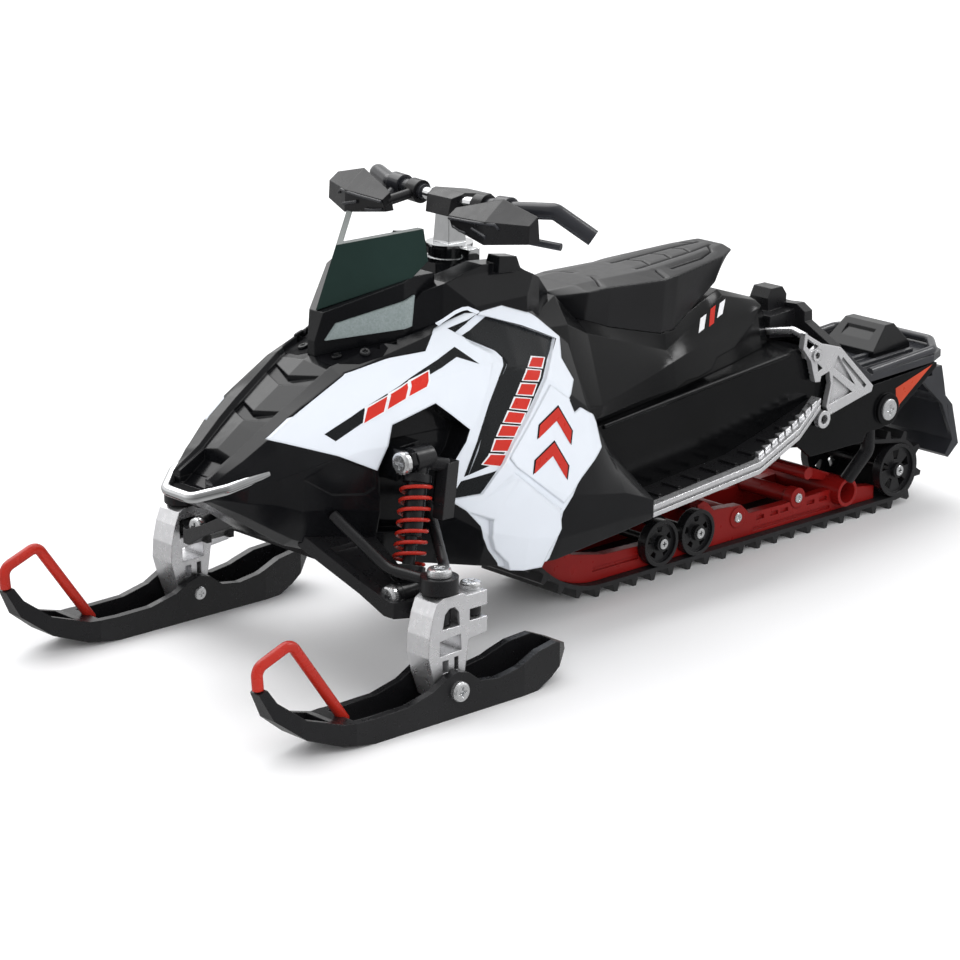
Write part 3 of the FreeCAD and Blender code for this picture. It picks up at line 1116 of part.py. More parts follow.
def lever():
    start = V(30.6, 13.4, 73.6)
    blade = bent_tube([start, V(28.8, 19.0, 72.2), V(26.0, 26.4, 71.6)], 3.0, LEVER_R)
    ring = rod(V(26.6, 12.0, 76.12), V(26.5, 14.8, 76.24), GRIP_R + 0.6)
    lug = rod(V(26.5, 13.4, 76.2), start, 0.9)
    return fused([blade, ring, lug]).cut(whole_bar(GRIP_R))


def save(name, shape):
    shape.exportStep(os.path.join("parts", name + ".step"))


def save_pair(name, shape):
    """The same piece on each side, in a node of its own."""
    save(name + "_left", shape)
    save(name + "_right", mirrored(shape))


def save_both(name, shape):
    """The same piece on both sides, in one node."""
    save(name, Part.makeCompound([shape, mirrored(shape)]))


os.makedirs("parts", exist_ok=True)

idler_z = BELT_IN_Z + IDLER_R + WHEEL_GAP
wheels = [wheel_set(x, idler_z, IDLER_R) for x in IDLER_X]
wheels.append(wheel_set(REAR_WHEEL_X, BELT_IN_Z + REAR_WHEEL_R + WHEEL_GAP, REAR_WHEEL_R))
links = rear_link()
rails = skid().cut(wheels + [links, mirrored(links)])
sheet = tunnel()
arm = front_links().cut(wheels)
save("track", track())
save("skid_frame", rails)
save("skid_wheels", Part.makeCompound(wheels))
save_both("rear_links", links.cut(sheet))
save("front_links", arm)

deck = rear_deck()
cushion = seat()
fairing = seat_base().cut(sheet)
frame = rear_frame().cut([sheet, deck, fairing])
bracket = rear_saddle().cut([sheet, deck, fairing, frame])
save("tunnel", sheet)
save("rear_deck", deck.cut(sheet))
save("tail_lamp", tail_lamp().cut(deck))
save("snow_flap", snow_flap().cut([sheet, deck]))
save("rear_saddle", bracket)
save("rear_trusses", frame)
save_both("running_boards", board())
save_both("side_rails", side_rail().cut(frame))

bumper = front_bumper()
panel, hood, belly = body_pieces()
housing = console()
lamp = headlight_housing()
lenses = lens()
whole = hull(0)
fairing = fairing.cut([panel, mirrored(panel)])
hood = hood.cut([bumper, fairing])
lamp = lamp.cut(whole)
housing = housing.cut([whole, fairing, lamp, lenses, mirrored(lenses)])
save_both("side_panels", panel)
save("hood", hood)
save("belly_pan", belly.cut([bumper, fairing, sheet]))
save("front_bumper", bumper)
save("console", housing)
save("headlight_housing", lamp.cut([lenses, mirrored(lenses)]))
save_both("headlight_lenses", lenses.cut(whole))
save("windshield", windshield().cut([lamp, housing, hood]))
save("seat_base", fairing.cut(cushion))
save("seat", cushion)

screws = shock_screws() + [rear_bolt()]
save_both("lower_arms", lower_arm().cut([whole] + screws))
save_both("upper_arms", upper_arm().cut(whole))
save_both("shocks", shock().cut(screws))
save_both("springs", spring())
save_both("chassis_screws", Part.makeCompound(screws))
save_pair("spindle", spindle())
save_pair("spindle_screws", Part.makeCompound([kingpin(), arm_bolt()]))
save("tie_rod", tie_rod())

loop = ski_loop()
save_pair("ski", ski().cut(loop))
save_pair("ski_pin", ski_pin())
save_pair("ski_loop", loop)

pod = gauge_pod()
bar = handlebar()
save("steering_column", steering_column().cut([bar, pod]))
save("handlebar", bar)
save_both("grips", grip())
save("gauge_pod", pod.cut(bar))
save_both("hand_guards", hand_guard())
save_both("levers", lever())
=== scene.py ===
import math

import bmesh
import bpy
from mathutils import Matrix, Vector
from mathutils.geometry import tessellate_polygon


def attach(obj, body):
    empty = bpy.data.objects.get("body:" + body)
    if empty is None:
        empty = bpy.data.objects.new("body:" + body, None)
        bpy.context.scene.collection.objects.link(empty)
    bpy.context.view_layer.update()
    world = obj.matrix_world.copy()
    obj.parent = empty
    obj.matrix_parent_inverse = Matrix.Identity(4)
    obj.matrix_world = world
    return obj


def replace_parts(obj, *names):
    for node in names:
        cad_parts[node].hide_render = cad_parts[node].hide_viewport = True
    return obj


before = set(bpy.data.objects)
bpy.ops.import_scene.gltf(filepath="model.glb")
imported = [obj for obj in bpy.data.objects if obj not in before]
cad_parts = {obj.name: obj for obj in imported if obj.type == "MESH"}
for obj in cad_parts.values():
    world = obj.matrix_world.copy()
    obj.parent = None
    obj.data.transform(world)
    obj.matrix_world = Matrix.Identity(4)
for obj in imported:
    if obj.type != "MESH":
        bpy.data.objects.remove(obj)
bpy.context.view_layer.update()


# Body shells: the hood, the belly pan, the tunnel, the fairing under the seat, the console and
# the lamp housings are injection moulded in gloss black ABS. They are faceted like folded card,
# with softly rounded arrises, and clip together face to face.

MM = 0.001
DRIFT_MM = 14.0
SHEEN_MM = 1.6
GRAIN_DETAIL = 4.0
EDGE_SAMPLES = 6


def new_material(name):
    """An empty node material, with its Principled shader and its Object coordinates."""
    material = bpy.data.materials.new(name)
    material.use_nodes = True
    tree = material.node_tree
    shader = tree.nodes["Principled BSDF"]
    place = tree.nodes.new("ShaderNodeTexCoord").outputs["Object"]
    return material, tree, shader, place


def noise(tree, place, size_mm, detail=3.0):
    """A noise whose blotches are about that size."""
    node = tree.nodes.new("ShaderNodeTexNoise")
    node.inputs["Scale"].default_value = 1.0 / (size_mm * MM)
    node.inputs["Detail"].default_value = detail
    tree.links.new(place, node.inputs["Vector"])
    return node.outputs["Fac"]


def ramp(tree, value, low, high, low_at=0.35, high_at=0.65):
    """Maps a number to another, from low to high. The usual ends are those of a noise."""
    node = tree.nodes.new("ShaderNodeMapRange")
    node.inputs["From Min"].default_value = low_at
    node.inputs["From Max"].default_value = high_at
    node.inputs["To Min"].default_value = low
    node.inputs["To Max"].default_value = high
    tree.links.new(value, node.inputs["Value"])
    return node.outputs["Result"]


def blotched(tree, value, colour, other):
    """A colour that drifts to another with a noise."""
    node = tree.nodes.new("ShaderNodeMix")
    node.data_type = "RGBA"
    node.inputs["A"].default_value = (*colour, 1.0)
    node.inputs["B"].default_value = (*other, 1.0)
    tree.links.new(value, node.inputs["Factor"])
    return node.outputs["Result"]


def soft_edges(tree, radius_mm):
    """A node whose normal rounds off every arris, as a moulding tool does."""
    node = tree.nodes.new("ShaderNodeBevel")
    node.samples = EDGE_SAMPLES
    node.inputs["Radius"].default_value = radius_mm * MM
    return node


def grained(tree, height, depth_mm, edges):
    """A bump of that depth, over rounded arrises."""
    node = tree.nodes.new("ShaderNodeBump")
    node.inputs["Strength"].default_value = 1.0
    node.inputs["Distance"].default_value = depth_mm * MM
    tree.links.new(height, node.inputs["Height"])
    tree.links.new(edges.outputs["Normal"], node.inputs["Normal"])
    return node.outputs["Normal"]


def moulded(name, colour, roughness, gloss, grain_mm, depth_mm, edge_mm, drift=0.25, uneven=0.15):
    """Moulded plastic: a slow drift of colour, uneven gloss, fine grain and rounded arrises."""
    material, tree, shader, place = new_material(name)
    lighter = [min(1.0, c * (1.0 + drift) + 0.001) for c in colour]
    slow = ramp(tree, noise(tree, place, DRIFT_MM), 0.0, 1.0)
    tree.links.new(blotched(tree, slow, colour, lighter), shader.inputs["Base Color"])
    fine = noise(tree, place, SHEEN_MM)
    sheen = ramp(tree, fine, roughness * (1 - uneven), roughness * (1 + uneven))
    tree.links.new(sheen, shader.inputs["Roughness"])
    shader.inputs["Specular IOR Level"].default_value = gloss
    grain = noise(tree, place, grain_mm, GRAIN_DETAIL)
    normal = grained(tree, grain, depth_mm, soft_edges(tree, edge_mm))
    tree.links.new(normal, shader.inputs["Normal"])
    return material


def dress(material, *names):
    """Gives CAD nodes a material."""
    for name in names:
        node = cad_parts[name]
        node.data.materials.clear()
        node.data.materials.append(material)


gloss_black = moulded("gloss_black_plastic", (0.004, 0.0042, 0.005), roughness=0.17, gloss=0.30,
                      grain_mm=0.9, depth_mm=0.003, edge_mm=0.32)
deep_black = moulded("deep_black_plastic", (0.0025, 0.0026, 0.003), roughness=0.20, gloss=0.20,
                     grain_mm=0.9, depth_mm=0.003, edge_mm=0.32)
dress(gloss_black, "hood", "belly_pan", "headlight_housing", "tail_lamp", "console")
dress(deep_black, "tunnel", "seat_base")


# Side panels: two white shells of gloss ABS, a little over a millimetre thick, screwed over the
# black body. The creases are gently rounded, and the white is slightly bluish.

white = moulded("white_plastic", (0.72, 0.76, 0.82), roughness=0.22, gloss=0.4,
                grain_mm=1.2, depth_mm=0.002, edge_mm=0.60, drift=0.04)
dress(white, "side_panels")


# Printed trim: thin films of ink that follow every facet of the panels. A black band, a small
# black window in a thin white rim, an arrow stripe and plain slanted bars in red.

SIDES = ((1, "left"), (-1, "right"))
FILM_LIFT = 0.04 * MM
CAD_WELD = 0.002 * MM
FILM_WELD = 0.003 * MM
LEAST_FACING = 0.12

# Outlines in mm, along the machine and up, as seen from the side.
BAND = [
    (37.8, 56.1), (31.5, 58.4), (24.4, 55.9), (15.6, 52.0), (19.6, 49.2), (26.3, 42.0),
    (31.4, 37.0), (34.1, 34.8), (40.9, 32.9), (38.3, 39.5), (35.4, 44.6), (32.5, 48.7),
    (31.1, 50.3), (30.7, 51.7), (32.0, 53.0),
]
BAND_FOOT = [(43.3, 29.3), (41.4, 32.2), (34.6, 33.1), (37.5, 29.4)]
SMALL_WINDOW = [(40.0, 57.6), (34.4, 59.0), (33.1, 59.3), (38.6, 56.7)]
WINDOW_RIM = [
    (41.2, 58.45), (39.7, 59.3), (37.9, 60.25), (36.5, 60.7), (35.4, 60.7), (34.6, 60.3),
    (33.2, 59.6), (33.4, 59.0), (34.9, 59.7), (35.6, 60.1), (36.4, 60.05), (37.7, 59.65),
    (39.5, 58.7), (41.0, 57.9),
]
ARROW = [
    (36.9, 51.8), (40.5, 53.3), (48.2, 50.6), (58.6, 45.3), (64.3, 42.4), (65.9, 43.7),
    (59.3, 46.9), (49.5, 51.1), (40.1, 54.8),
]
LADDER = [
    ((37.6, 34.6), (35.0, 32.9)), ((36.1, 36.1), (33.5, 34.4)), ((33.9, 39.3), (30.8, 37.7)),
    ((30.0, 43.6), (27.1, 41.8)), ((25.9, 48.5), (23.1, 46.9)), ((21.9, 51.4), (19.9, 50.1)),
]
NOSE_BARS = [
    [(59.2, 44.8), (55.6, 46.3), (54.6, 48.6), (58.2, 47.1)],
    [(54.9, 46.6), (51.6, 48.0), (50.6, 50.3), (53.9, 48.9)],
    [(50.9, 48.3), (47.6, 49.5), (46.4, 51.7), (49.9, 50.5)],
]
TAIL_FLASH = [(-78.3, 25.9), (-89.1, 28.8), (-78.7, 21.8)]
FAIRING_FLASH = [(-30.2, 45.2), (-32.0, 48.0), (-33.6, 48.5), (-31.8, 45.6)]
FAIRING_BARS = [
    [(-27.0, 44.6), (-28.8, 46.9), (-30.6, 47.4), (-28.8, 45.1)],
    [(-33.0, 46.28), (-34.8, 48.58), (-36.6, 49.08), (-34.8, 46.78)],
]
RIM = 0.40

# The red bars on the ladder, in shares of its length.
BAR_COUNT = 8
FIRST_BAR = 0.01
BAR_PITCH = 0.118
BAR_LENGTH = 0.086
BAR_SLANT = 0.05

# The chevrons, across and up the panel's own slope.
CHEVRON = [(-4.4, -1.6), (0.0, 2.2), (4.4, -1.6), (4.4, 0.9), (0.0, 4.7), (-4.4, 0.9)]
CHEVRON_SCALE = 0.92
CHEVRON_HEIGHTS = (-4.0, 2.0)
CHEVRON_MIDDLE = Vector((21.7, 35.4))
PANEL_ACROSS = Vector((-0.954, -0.30))
PANEL_UP = Vector((-0.30, 0.954))


def add_to(whole, part):
    """Adds one bmesh to another and frees it."""
    mesh = bpy.data.meshes.new("part")
    part.to_mesh(mesh)
    part.free()
    whole.from_mesh(mesh)
    bpy.data.meshes.remove(mesh)


def finished(name, bm, material, body="chassis"):
    """The mesh as a piece of that material, riding on that body."""
    mesh = bpy.data.meshes.new(name)
    bm.to_mesh(mesh)
    bm.free()
    mesh.materials.append(material)
    piece = bpy.data.objects.new(name, mesh)
    bpy.context.scene.collection.objects.link(piece)
    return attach(piece, body)


def film(name, node_name, outlines, material, side, lift=1, above=False):
    """The faces of a node inside outlines in side view, or from above, lifted off as ink."""
    toward = Vector((0, 0, 1)) if above else Vector((0, side, 0))
    source = bmesh.new()
    source.from_mesh(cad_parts[node_name].data)
    bmesh.ops.remove_doubles(source, verts=source.verts, dist=CAD_WELD)
    hidden = [
        f for f in source.faces
        if f.normal.dot(toward) < LEAST_FACING or f.calc_center_median().y * side < 0
    ]
    bmesh.ops.delete(source, geom=hidden, context="FACES")
    whole = bmesh.new()
    for outline in outlines:
        corners = [Vector((a, b * side, 0) if above else (a, 0, b)) * MM for a, b in outline]
        for triangle in tessellate_polygon([corners]):
            points = [corners[i] for i in triangle]
            centre = sum(points, Vector()) / 3
            cut = source.copy()
            for start, end in zip(points, points[1:] + points[:1]):
                outward = (end - start).cross(toward).normalized()
                if outward.dot(centre - start) > 0:
                    outward.negate()
                bmesh.ops.bisect_plane(
                    cut, geom=cut.verts[:] + cut.edges[:] + cut.faces[:], plane_co=start,
                    plane_no=outward, clear_outer=True,
                )
            add_to(whole, cut)
    source.free()
    bmesh.ops.remove_doubles(whole, verts=whole.verts, dist=FILM_WELD)
    whole.normal_update()
    for vertex in whole.verts:
        vertex.co += vertex.normal * (lift * FILM_LIFT)
    return finished(name, whole, material)


def along(ladder, share, rail):
    """A point of one rail of a ladder of stations, at a share of the first rail's length."""
    lengths = [(Vector(b[0]) - Vector(a[0])).length for a, b in zip(ladder, ladder[1:])]
    rest = share * sum(lengths)
    step = 0
    while step < len(lengths) - 1 and rest > lengths[step]:
        rest -= lengths[step]
        step += 1
    return Vector(ladder[step][rail]).lerp(Vector(ladder[step + 1][rail]), rest / lengths[step])


def grown(outline):
    """An outline moved outwards from its middle by about the width of a rim."""
    points = [Vector(p) for p in outline]
    middle = sum(points, Vector((0, 0))) / len(points)
    return [tuple(p + (p - middle).normalized() * RIM) for p in points]


def chevron(up):
    """A chevron for the rear of a panel, at that height along the panel's own slope."""
    middle = CHEVRON_MIDDLE + PANEL_UP * up
    corners = [(w * CHEVRON_SCALE, u * CHEVRON_SCALE) for w, u in CHEVRON]
    return [tuple(middle + PANEL_ACROSS * w + PANEL_UP * u) for w, u in corners]


def ink(name, colour, roughness, gloss, drift=0.25):
    """Printing ink, thin and smooth."""
    return moulded(name, colour, roughness, gloss, grain_mm=0.5, depth_mm=0.002, edge_mm=0.30,
                   drift=drift)


ink_black = ink("black_ink", (0.006, 0.007, 0.008), roughness=0.26, gloss=0.3)
ink_red = ink("red_ink", (0.50, 0.024, 0.014), roughness=0.32, gloss=0.25)
ink_orange = ink("orange_ink", (0.44, 0.048, 0.018), roughness=0.32, gloss=0.25)
ink_white = ink("white_ink", (0.80, 0.80, 0.82), roughness=0.32, gloss=0.3, drift=0.02)

red_bars = []
for step in range(BAR_COUNT):
    low = FIRST_BAR + BAR_PITCH * step
    high = low + BAR_LENGTH
    corners = [along(LADDER, low, 0), along(LADDER, low + BAR_SLANT, 1)]
    corners += [along(LADDER, high + BAR_SLANT, 1), along(LADDER, high, 0)]
    red_bars.append([tuple(c) for c in corners])
red_bars += NOSE_BARS
rims = [grown(bar) for bar in red_bars]
chevrons = [chevron(up) for up in CHEVRON_HEIGHTS]
edges = [grown(shape) for shape in chevrons]
black_areas = [BAND, BAND_FOOT, SMALL_WINDOW, ARROW]
for side, word in SIDES:
    film("black_trim_" + word, "side_panels", black_areas, ink_black, side)
    film("bar_rims_" + word, "side_panels", rims, ink_white, side, lift=2)
    film("red_bars_" + word, "side_panels", red_bars, ink_red, side, lift=3)
    film("chevron_edges_" + word, "side_panels", edges, ink_black, side)
    film("chevrons_" + word, "side_panels", chevrons, ink_red, side, lift=2)
    for node_name in ("console", "hood"):
        film(node_name + "_rim_" + word, node_name, [WINDOW_RIM], white, side)
    film("tail_flash_" + word, "tunnel", [TAIL_FLASH], ink_orange, side)
    film("seat_bars_" + word, "seat_base", FAIRING_BARS, ink_white, side)
    film("seat_flash_" + word, "seat_base", [FAIRING_FLASH], ink_red, side)


# Windshield: clear plastic tinted dark green, pushed into a slot behind the headlight. It is
# nearly black from the front, and its cut edges glow paler than its faces.

shield = moulded("smoked_windshield", (0.010, 0.022, 0.019), roughness=0.07, gloss=0.35,
                 grain_mm=3.0, depth_mm=0.001, edge_mm=0.22)
dress(shield, "windshield")


# Headlight lenses: clear plastic snapped over a grey reflector, which is moulded with rows of
# fine facets. Under each lens lies a recess with the heads of two small screws. It is drawn as a
# flat matte black film, whose dark tone is painted shade for the recess.

FACET_MM = 0.26
FACET_DEPTH_MM = 0.010
FACET_DARK = (0.19, 0.23, 0.23)
FACET_PALE = (0.26, 0.305, 0.305)
LENS_EDGE_MM = 0.25
# In mm, along the machine and across it, as seen from above.
SHADED_RECESS = [(58.8, 3.0), (58.6, 7.4), (56.0, 9.6), (51.9, 10.8), (50.2, 10.2), (50.3, 8.4), (57.6, 1.2)]

lens, tree, shader, place = new_material("headlight_lens")
cells = tree.nodes.new("ShaderNodeTexVoronoi")
cells.inputs["Scale"].default_value = 1.0 / (FACET_MM * MM)
tree.links.new(place, cells.inputs["Vector"])
facets = ramp(tree, cells.outputs["Color"], 0.0, 1.0, 0.0, 1.0)
tree.links.new(blotched(tree, facets, FACET_DARK, FACET_PALE), shader.inputs["Base Color"])
shader.inputs["Roughness"].default_value = 0.22
shader.inputs["Coat Weight"].default_value = 0.6
rows = grained(tree, cells.outputs["Distance"], FACET_DEPTH_MM, soft_edges(tree, LENS_EDGE_MM))
tree.links.new(rows, shader.inputs["Normal"])
dress(lens, "headlight_lenses")
# A flat matte film stands for the recess under each lens, and its dark tone is painted shade.
recess_shade_black = moulded("recess_shade_black", (0.003, 0.003, 0.004), roughness=0.6, gloss=0.06,
                     grain_mm=0.5, depth_mm=0.004, edge_mm=0.20)
for side, word in SIDES:
    film("lamp_recess_shade_" + word, "hood", [SHADED_RECESS], recess_shade_black, side, above=True)


# Bright castings: the spindles, the rear frame and the rails along the boards are zinc castings
# with a satin silver finish. The steering post, the bar and the bumper are plated.

METAL_DETAIL = 2.0
METAL_DRIFT = 0.94
METAL_UNEVEN = 0.15
PAINTED_SHADE_SAMPLES = 8


def metal(name, colour, roughness, plating, grain_mm, depth_mm, edge_mm, painted_shade_mm=0.0):
    """Plated or silver painted metal with uneven gloss, and painted shade in its hollows and
    corners if that reach is given.
    """
    material, tree, shader, place = new_material(name)
    fine = noise(tree, place, grain_mm, METAL_DETAIL)
    shader.inputs["Metallic"].default_value = plating
    darker = [c * METAL_DRIFT for c in colour]
    drift = blotched(tree, ramp(tree, fine, 0.0, 1.0), colour, darker)
    # Painted shade: an ambient occlusion node darkens the base colour in hollows and corners, and
    # the drifting colour then carries this painted shade.
    if painted_shade_mm:
        painted_shade = tree.nodes.new("ShaderNodeAmbientOcclusion")
        painted_shade.samples = PAINTED_SHADE_SAMPLES
        painted_shade.inputs["Distance"].default_value = painted_shade_mm * MM
        tree.links.new(drift, painted_shade.inputs["Color"])
        drift = painted_shade.outputs["Color"]
    tree.links.new(drift, shader.inputs["Base Color"])
    sheen = ramp(tree, fine, roughness * (1 - METAL_UNEVEN), roughness * (1 + METAL_UNEVEN))
    tree.links.new(sheen, shader.inputs["Roughness"])
    normal = grained(tree, fine, depth_mm, soft_edges(tree, edge_mm))
    tree.links.new(normal, shader.inputs["Normal"])
    return material


# The silver castings get painted shade darkening their hollows and corners.
silver = metal("cast_silver", (0.92, 0.92, 0.94), roughness=0.30, plating=0.85,
               grain_mm=1.3, depth_mm=0.0008, edge_mm=0.24, painted_shade_mm=1.2)
chrome = metal("plated_bright", (0.82, 0.83, 0.84), roughness=0.08, plating=1.0,
               grain_mm=1.5, depth_mm=0.001, edge_mm=0.15)
dress(silver, "spindle_left", "spindle_right", "rear_trusses", "side_rails")
dress(chrome, "steering_column", "handlebar", "front_bumper")


# Screws: zinc plated steel with pan heads and a cross recess, turned into moulded bosses. They
# carry the spindles, the skis, both ends of the shocks and the rear links, and two small black
# ones lie under each headlight.

# Shares of the head's radius, and of its height for its steps and its recess.
FLAT_SHARE = 0.74
HEAD_STEPS = ((0.92, 0.90), (1.0, 0.62), (1.0, 0.0))
CROSS_REACH = 0.52
CROSS_HALF_WIDTH = 0.13
CROSS_TAPER = 0.72
CROSS_DEPTH = 0.45
HEAD_SEGMENTS = 28

# Screws of the left side in mm: seat, axis, head radius and height, shank length and radius.
BODY_SCREWS = (
    ((55.2, 20.0, 38.5), (1, 0, 0), 2.0, 1.3, 6.4, 0.8),
    ((62.8, 25.3, 18.4), (1, 0, 0), 1.8, 1.2, 6.0, 0.8),
    ((-75.6, 13.9, 22.3), (0, 1, 0), 2.1, 0.5),
)
SPINDLE_SCREWS = (
    ((60.0, 33.75, 23.3), (0, 0, 1), 2.1, 1.3, 9.8, 1.0),
    ((53.1, 33.75, 19.7), (0, 0, 1), 1.8, 1.2, 6.7, 0.8),
)
SKI_SCREWS = (
    ((60.0, 38.45, 4.6), (0, 1, 0), 1.75, 1.1, 9.4, 1.2),
    ((60.0, 29.05, 4.6), (0, -1, 0), 1.15, 0.3),
)
SKID_SCREWS = (
    ((-39.5, 8.3, 6.6), (0, 1, 0), 0.95, 0.3),
    ((-56.5, 8.3, 7.0), (0, 1, 0), 0.95, 0.3),
    ((-16.8, 10.75, 6.8), (0, 1, 0), 1.0, 0.3),
    ((-26.6, 10.75, 6.8), (0, 1, 0), 1.0, 0.3),
    ((-83.4, 10.75, 7.75), (0, 1, 0), 1.05, 0.3),
)
LAMP_SCREWS = (
    ((56.4, 4.3, 53.7), (0.31, 0.09, 0.95), 0.95, 0.5),
    ((53.8, 8.5, 54.7), (0.33, 0.44, 0.84), 0.95, 0.5),
)


def on_side(point, side):
    """A point of the left side, or its mirror point on the right."""
    return Vector((point[0], point[1] * side, point[2]))


def screw(bm, side, seat, axis, radius, height, shank=0.0, shank_radius=0.0):
    """Adds a pan head on its seat, with its cross recess and the shank below it."""
    new = bmesh.new()
    flat_radius = radius * FLAT_SHARE
    flat = bmesh.ops.create_circle(new, segments=HEAD_SEGMENTS, radius=flat_radius)["verts"]
    bmesh.ops.translate(new, verts=flat, vec=(0, 0, height))
    rim = new.edges[:]
    wide = radius * CROSS_REACH
    thin = radius * CROSS_HALF_WIDTH
    cross = [
        (wide, thin), (thin, thin), (thin, wide), (-thin, wide), (-thin, thin), (-wide, thin),
        (-wide, -thin), (-thin, -thin), (-thin, -wide), (thin, -wide), (thin, -thin), (wide, -thin),
    ]
    corners = [new.verts.new((x, y, height)) for x, y in cross]
    recess = [new.edges.new((a, b)) for a, b in zip(corners, corners[1:] + corners[:1])]
    bmesh.ops.triangle_fill(new, use_beauty=True, use_dissolve=False, edges=rim + recess)
    sunk = bmesh.ops.extrude_edge_only(new, edges=recess)["geom"]
    low_verts = [v for v in sunk if isinstance(v, bmesh.types.BMVert)]
    low_edges = [e for e in sunk if isinstance(e, bmesh.types.BMEdge)]
    bmesh.ops.scale(new, verts=low_verts, vec=(CROSS_TAPER, CROSS_TAPER, 1.0))
    bmesh.ops.translate(new, verts=low_verts, vec=(0, 0, -height * CROSS_DEPTH))
    bmesh.ops.triangle_fill(new, use_beauty=True, use_dissolve=False, edges=low_edges)
    steps = [(radius * across, height * up) for across, up in HEAD_STEPS]
    if shank:
        steps += [(shank_radius, 0.0), (shank_radius, -shank)]
    edge, wide_now = rim, flat_radius
    for reach, level in steps:
        geometry = bmesh.ops.extrude_edge_only(new, edges=edge)["geom"]
        verts = [v for v in geometry if isinstance(v, bmesh.types.BMVert)]
        edge = [e for e in geometry if isinstance(e, bmesh.types.BMEdge)]
        bmesh.ops.scale(new, verts=verts, vec=(reach / wide_now, reach / wide_now, 1.0))
        bmesh.ops.translate(new, verts=verts, vec=(0, 0, level - verts[0].co.z))
        wide_now = reach
    bmesh.ops.edgeloop_fill(new, edges=edge)
    bmesh.ops.recalc_face_normals(new, faces=new.faces)
    turn = on_side(axis, side).to_track_quat("Z", "Y").to_matrix().to_4x4()
    move = Matrix.Scale(MM, 4) @ Matrix.Translation(on_side(seat, side)) @ turn
    bmesh.ops.transform(new, matrix=move, verts=new.verts)
    add_to(bm, new)


def screw_set(rows, *sides):
    """One mesh with a screw for each row, on each of those sides."""
    whole = bmesh.new()
    for side in sides:
        for row in rows:
            screw(whole, side, *row)
    return whole


zinc = metal("screw_zinc", (0.84, 0.85, 0.86), roughness=0.18, plating=0.9,
             grain_mm=0.4, depth_mm=0.002, edge_mm=0.08)
piece = finished("body_screws", screw_set(BODY_SCREWS, 1, -1), zinc)
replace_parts(piece, "chassis_screws")
for side, word in SIDES:
    piece = finished("kingpins_" + word, screw_set(SPINDLE_SCREWS, side), zinc, "spindle_" + word)
    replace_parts(piece, "spindle_screws_" + word)
    piece = finished("ski_pivot_" + word, screw_set(SKI_SCREWS, side), zinc, "ski_" + word)
    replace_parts(piece, "ski_pin_" + word)
finished("skid_screws", screw_set(SKID_SCREWS, 1, -1), zinc)
finished("lamp_screws", screw_set(LAMP_SCREWS, 1, -1), gloss_black)


# Satin black mouldings: skis, arms, guards and small fittings, from a tool with a fine spark
# grain, pushed or screwed on after the body is closed. The deck, grips, levers and flap are a
# smokier black with more gloss.

satin_black = moulded("satin_black_plastic", (0.008, 0.008, 0.009), roughness=0.30, gloss=0.42,
                      grain_mm=0.30, depth_mm=0.003, edge_mm=0.22)
smoky = moulded("smoky_black_plastic", (0.022, 0.023, 0.027), roughness=0.22, gloss=0.55,
                grain_mm=0.60, depth_mm=0.002, edge_mm=0.30)
dress(
    satin_black, "ski_left", "ski_right", "lower_arms", "upper_arms", "shocks", "tie_rod",
    "hand_guards", "gauge_pod", "rear_saddle", "running_boards", "rear_links", "front_links",
    "skid_wheels",
)
dress(smoky, "rear_deck", "grips", "levers", "snow_flap")


# Guard ribs: low rounded ribs moulded on the front of each hand guard, a long lip with a hook at
# its outer end, a short slanted bar and a fine line below.

RIB_SEGMENTS = 10
# Each rib's radius and its stations on the left guard, in mm.
GUARD_RIBS = [
    (0.30, [(35.05, 8.6, 75.0), (35.35, 14.0, 75.25), (35.35, 16.6, 75.4), (34.75, 19.6, 75.5),
            (34.6, 20.3, 74.9)]),
    (0.32, [(35.35, 14.6, 74.2), (35.5, 18.1, 73.3)]),
    (0.24, [(34.45, 9.0, 73.6), (34.9, 11.0, 73.2), (35.1, 12.8, 73.1)]),
]

ribs = bmesh.new()
for side in (1, -1):
    for radius, stations in GUARD_RIBS:
        places = [on_side(station, side) * MM for station in stations]
        rib = bmesh.new()
        bmesh.ops.create_circle(rib, segments=RIB_SEGMENTS, radius=radius * MM)
        turn = (places[1] - places[0]).to_track_quat("Z", "Y").to_matrix()
        bmesh.ops.rotate(rib, verts=rib.verts, matrix=turn)
        bmesh.ops.translate(rib, verts=rib.verts, vec=places[0])
        edge = first = rib.edges[:]
        for start, end in zip(places, places[1:]):
            geometry = bmesh.ops.extrude_edge_only(rib, edges=edge)["geom"]
            edge = [e for e in geometry if isinstance(e, bmesh.types.BMEdge)]
            moved = [v for v in geometry if isinstance(v, bmesh.types.BMVert)]
            bmesh.ops.translate(rib, verts=moved, vec=end - start)
        bmesh.ops.edgeloop_fill(rib, edges=first)
        bmesh.ops.edgeloop_fill(rib, edges=edge)
        bmesh.ops.recalc_face_normals(rib, faces=rib.faces)
        add_to(ribs, rib)
finished("guard_ribs", ribs, smoky, "steering")


# Red pieces: the tube loops on the skis are bright red, and the skid frame is a darker red, both
# moulded in coloured plastic with a soft gloss.

red = moulded("red_plastic", (0.36, 0.018, 0.010), roughness=0.26, gloss=0.35,
              grain_mm=0.6, depth_mm=0.002, edge_mm=0.20)
dark_red = moulded("dark_red_plastic", (0.21, 0.007, 0.006), roughness=0.32, gloss=0.22,
                   grain_mm=0.6, depth_mm=0.003, edge_mm=0.25)
dress(red, "ski_loop_left", "ski_loop_right")
dress(dark_red, "skid_frame")


# Coil springs: seven turns of round spring wire, painted red, slipped over each shock between
# its collar and its lower seat.

# In mm, from the top of the left shock down to its foot.
SHOCK_TOP = (52.0, 20.0, 38.5)
SHOCK_FOOT = (59.8, 25.3, 18.4)
COIL_START = 4.55
COIL_LENGTH = 13.0
COIL_RADIUS = 2.5
COIL_TURNS = 7
COIL_STEPS = 26
WIRE_RADIUS = 0.33
WIRE_SEGMENTS = 10

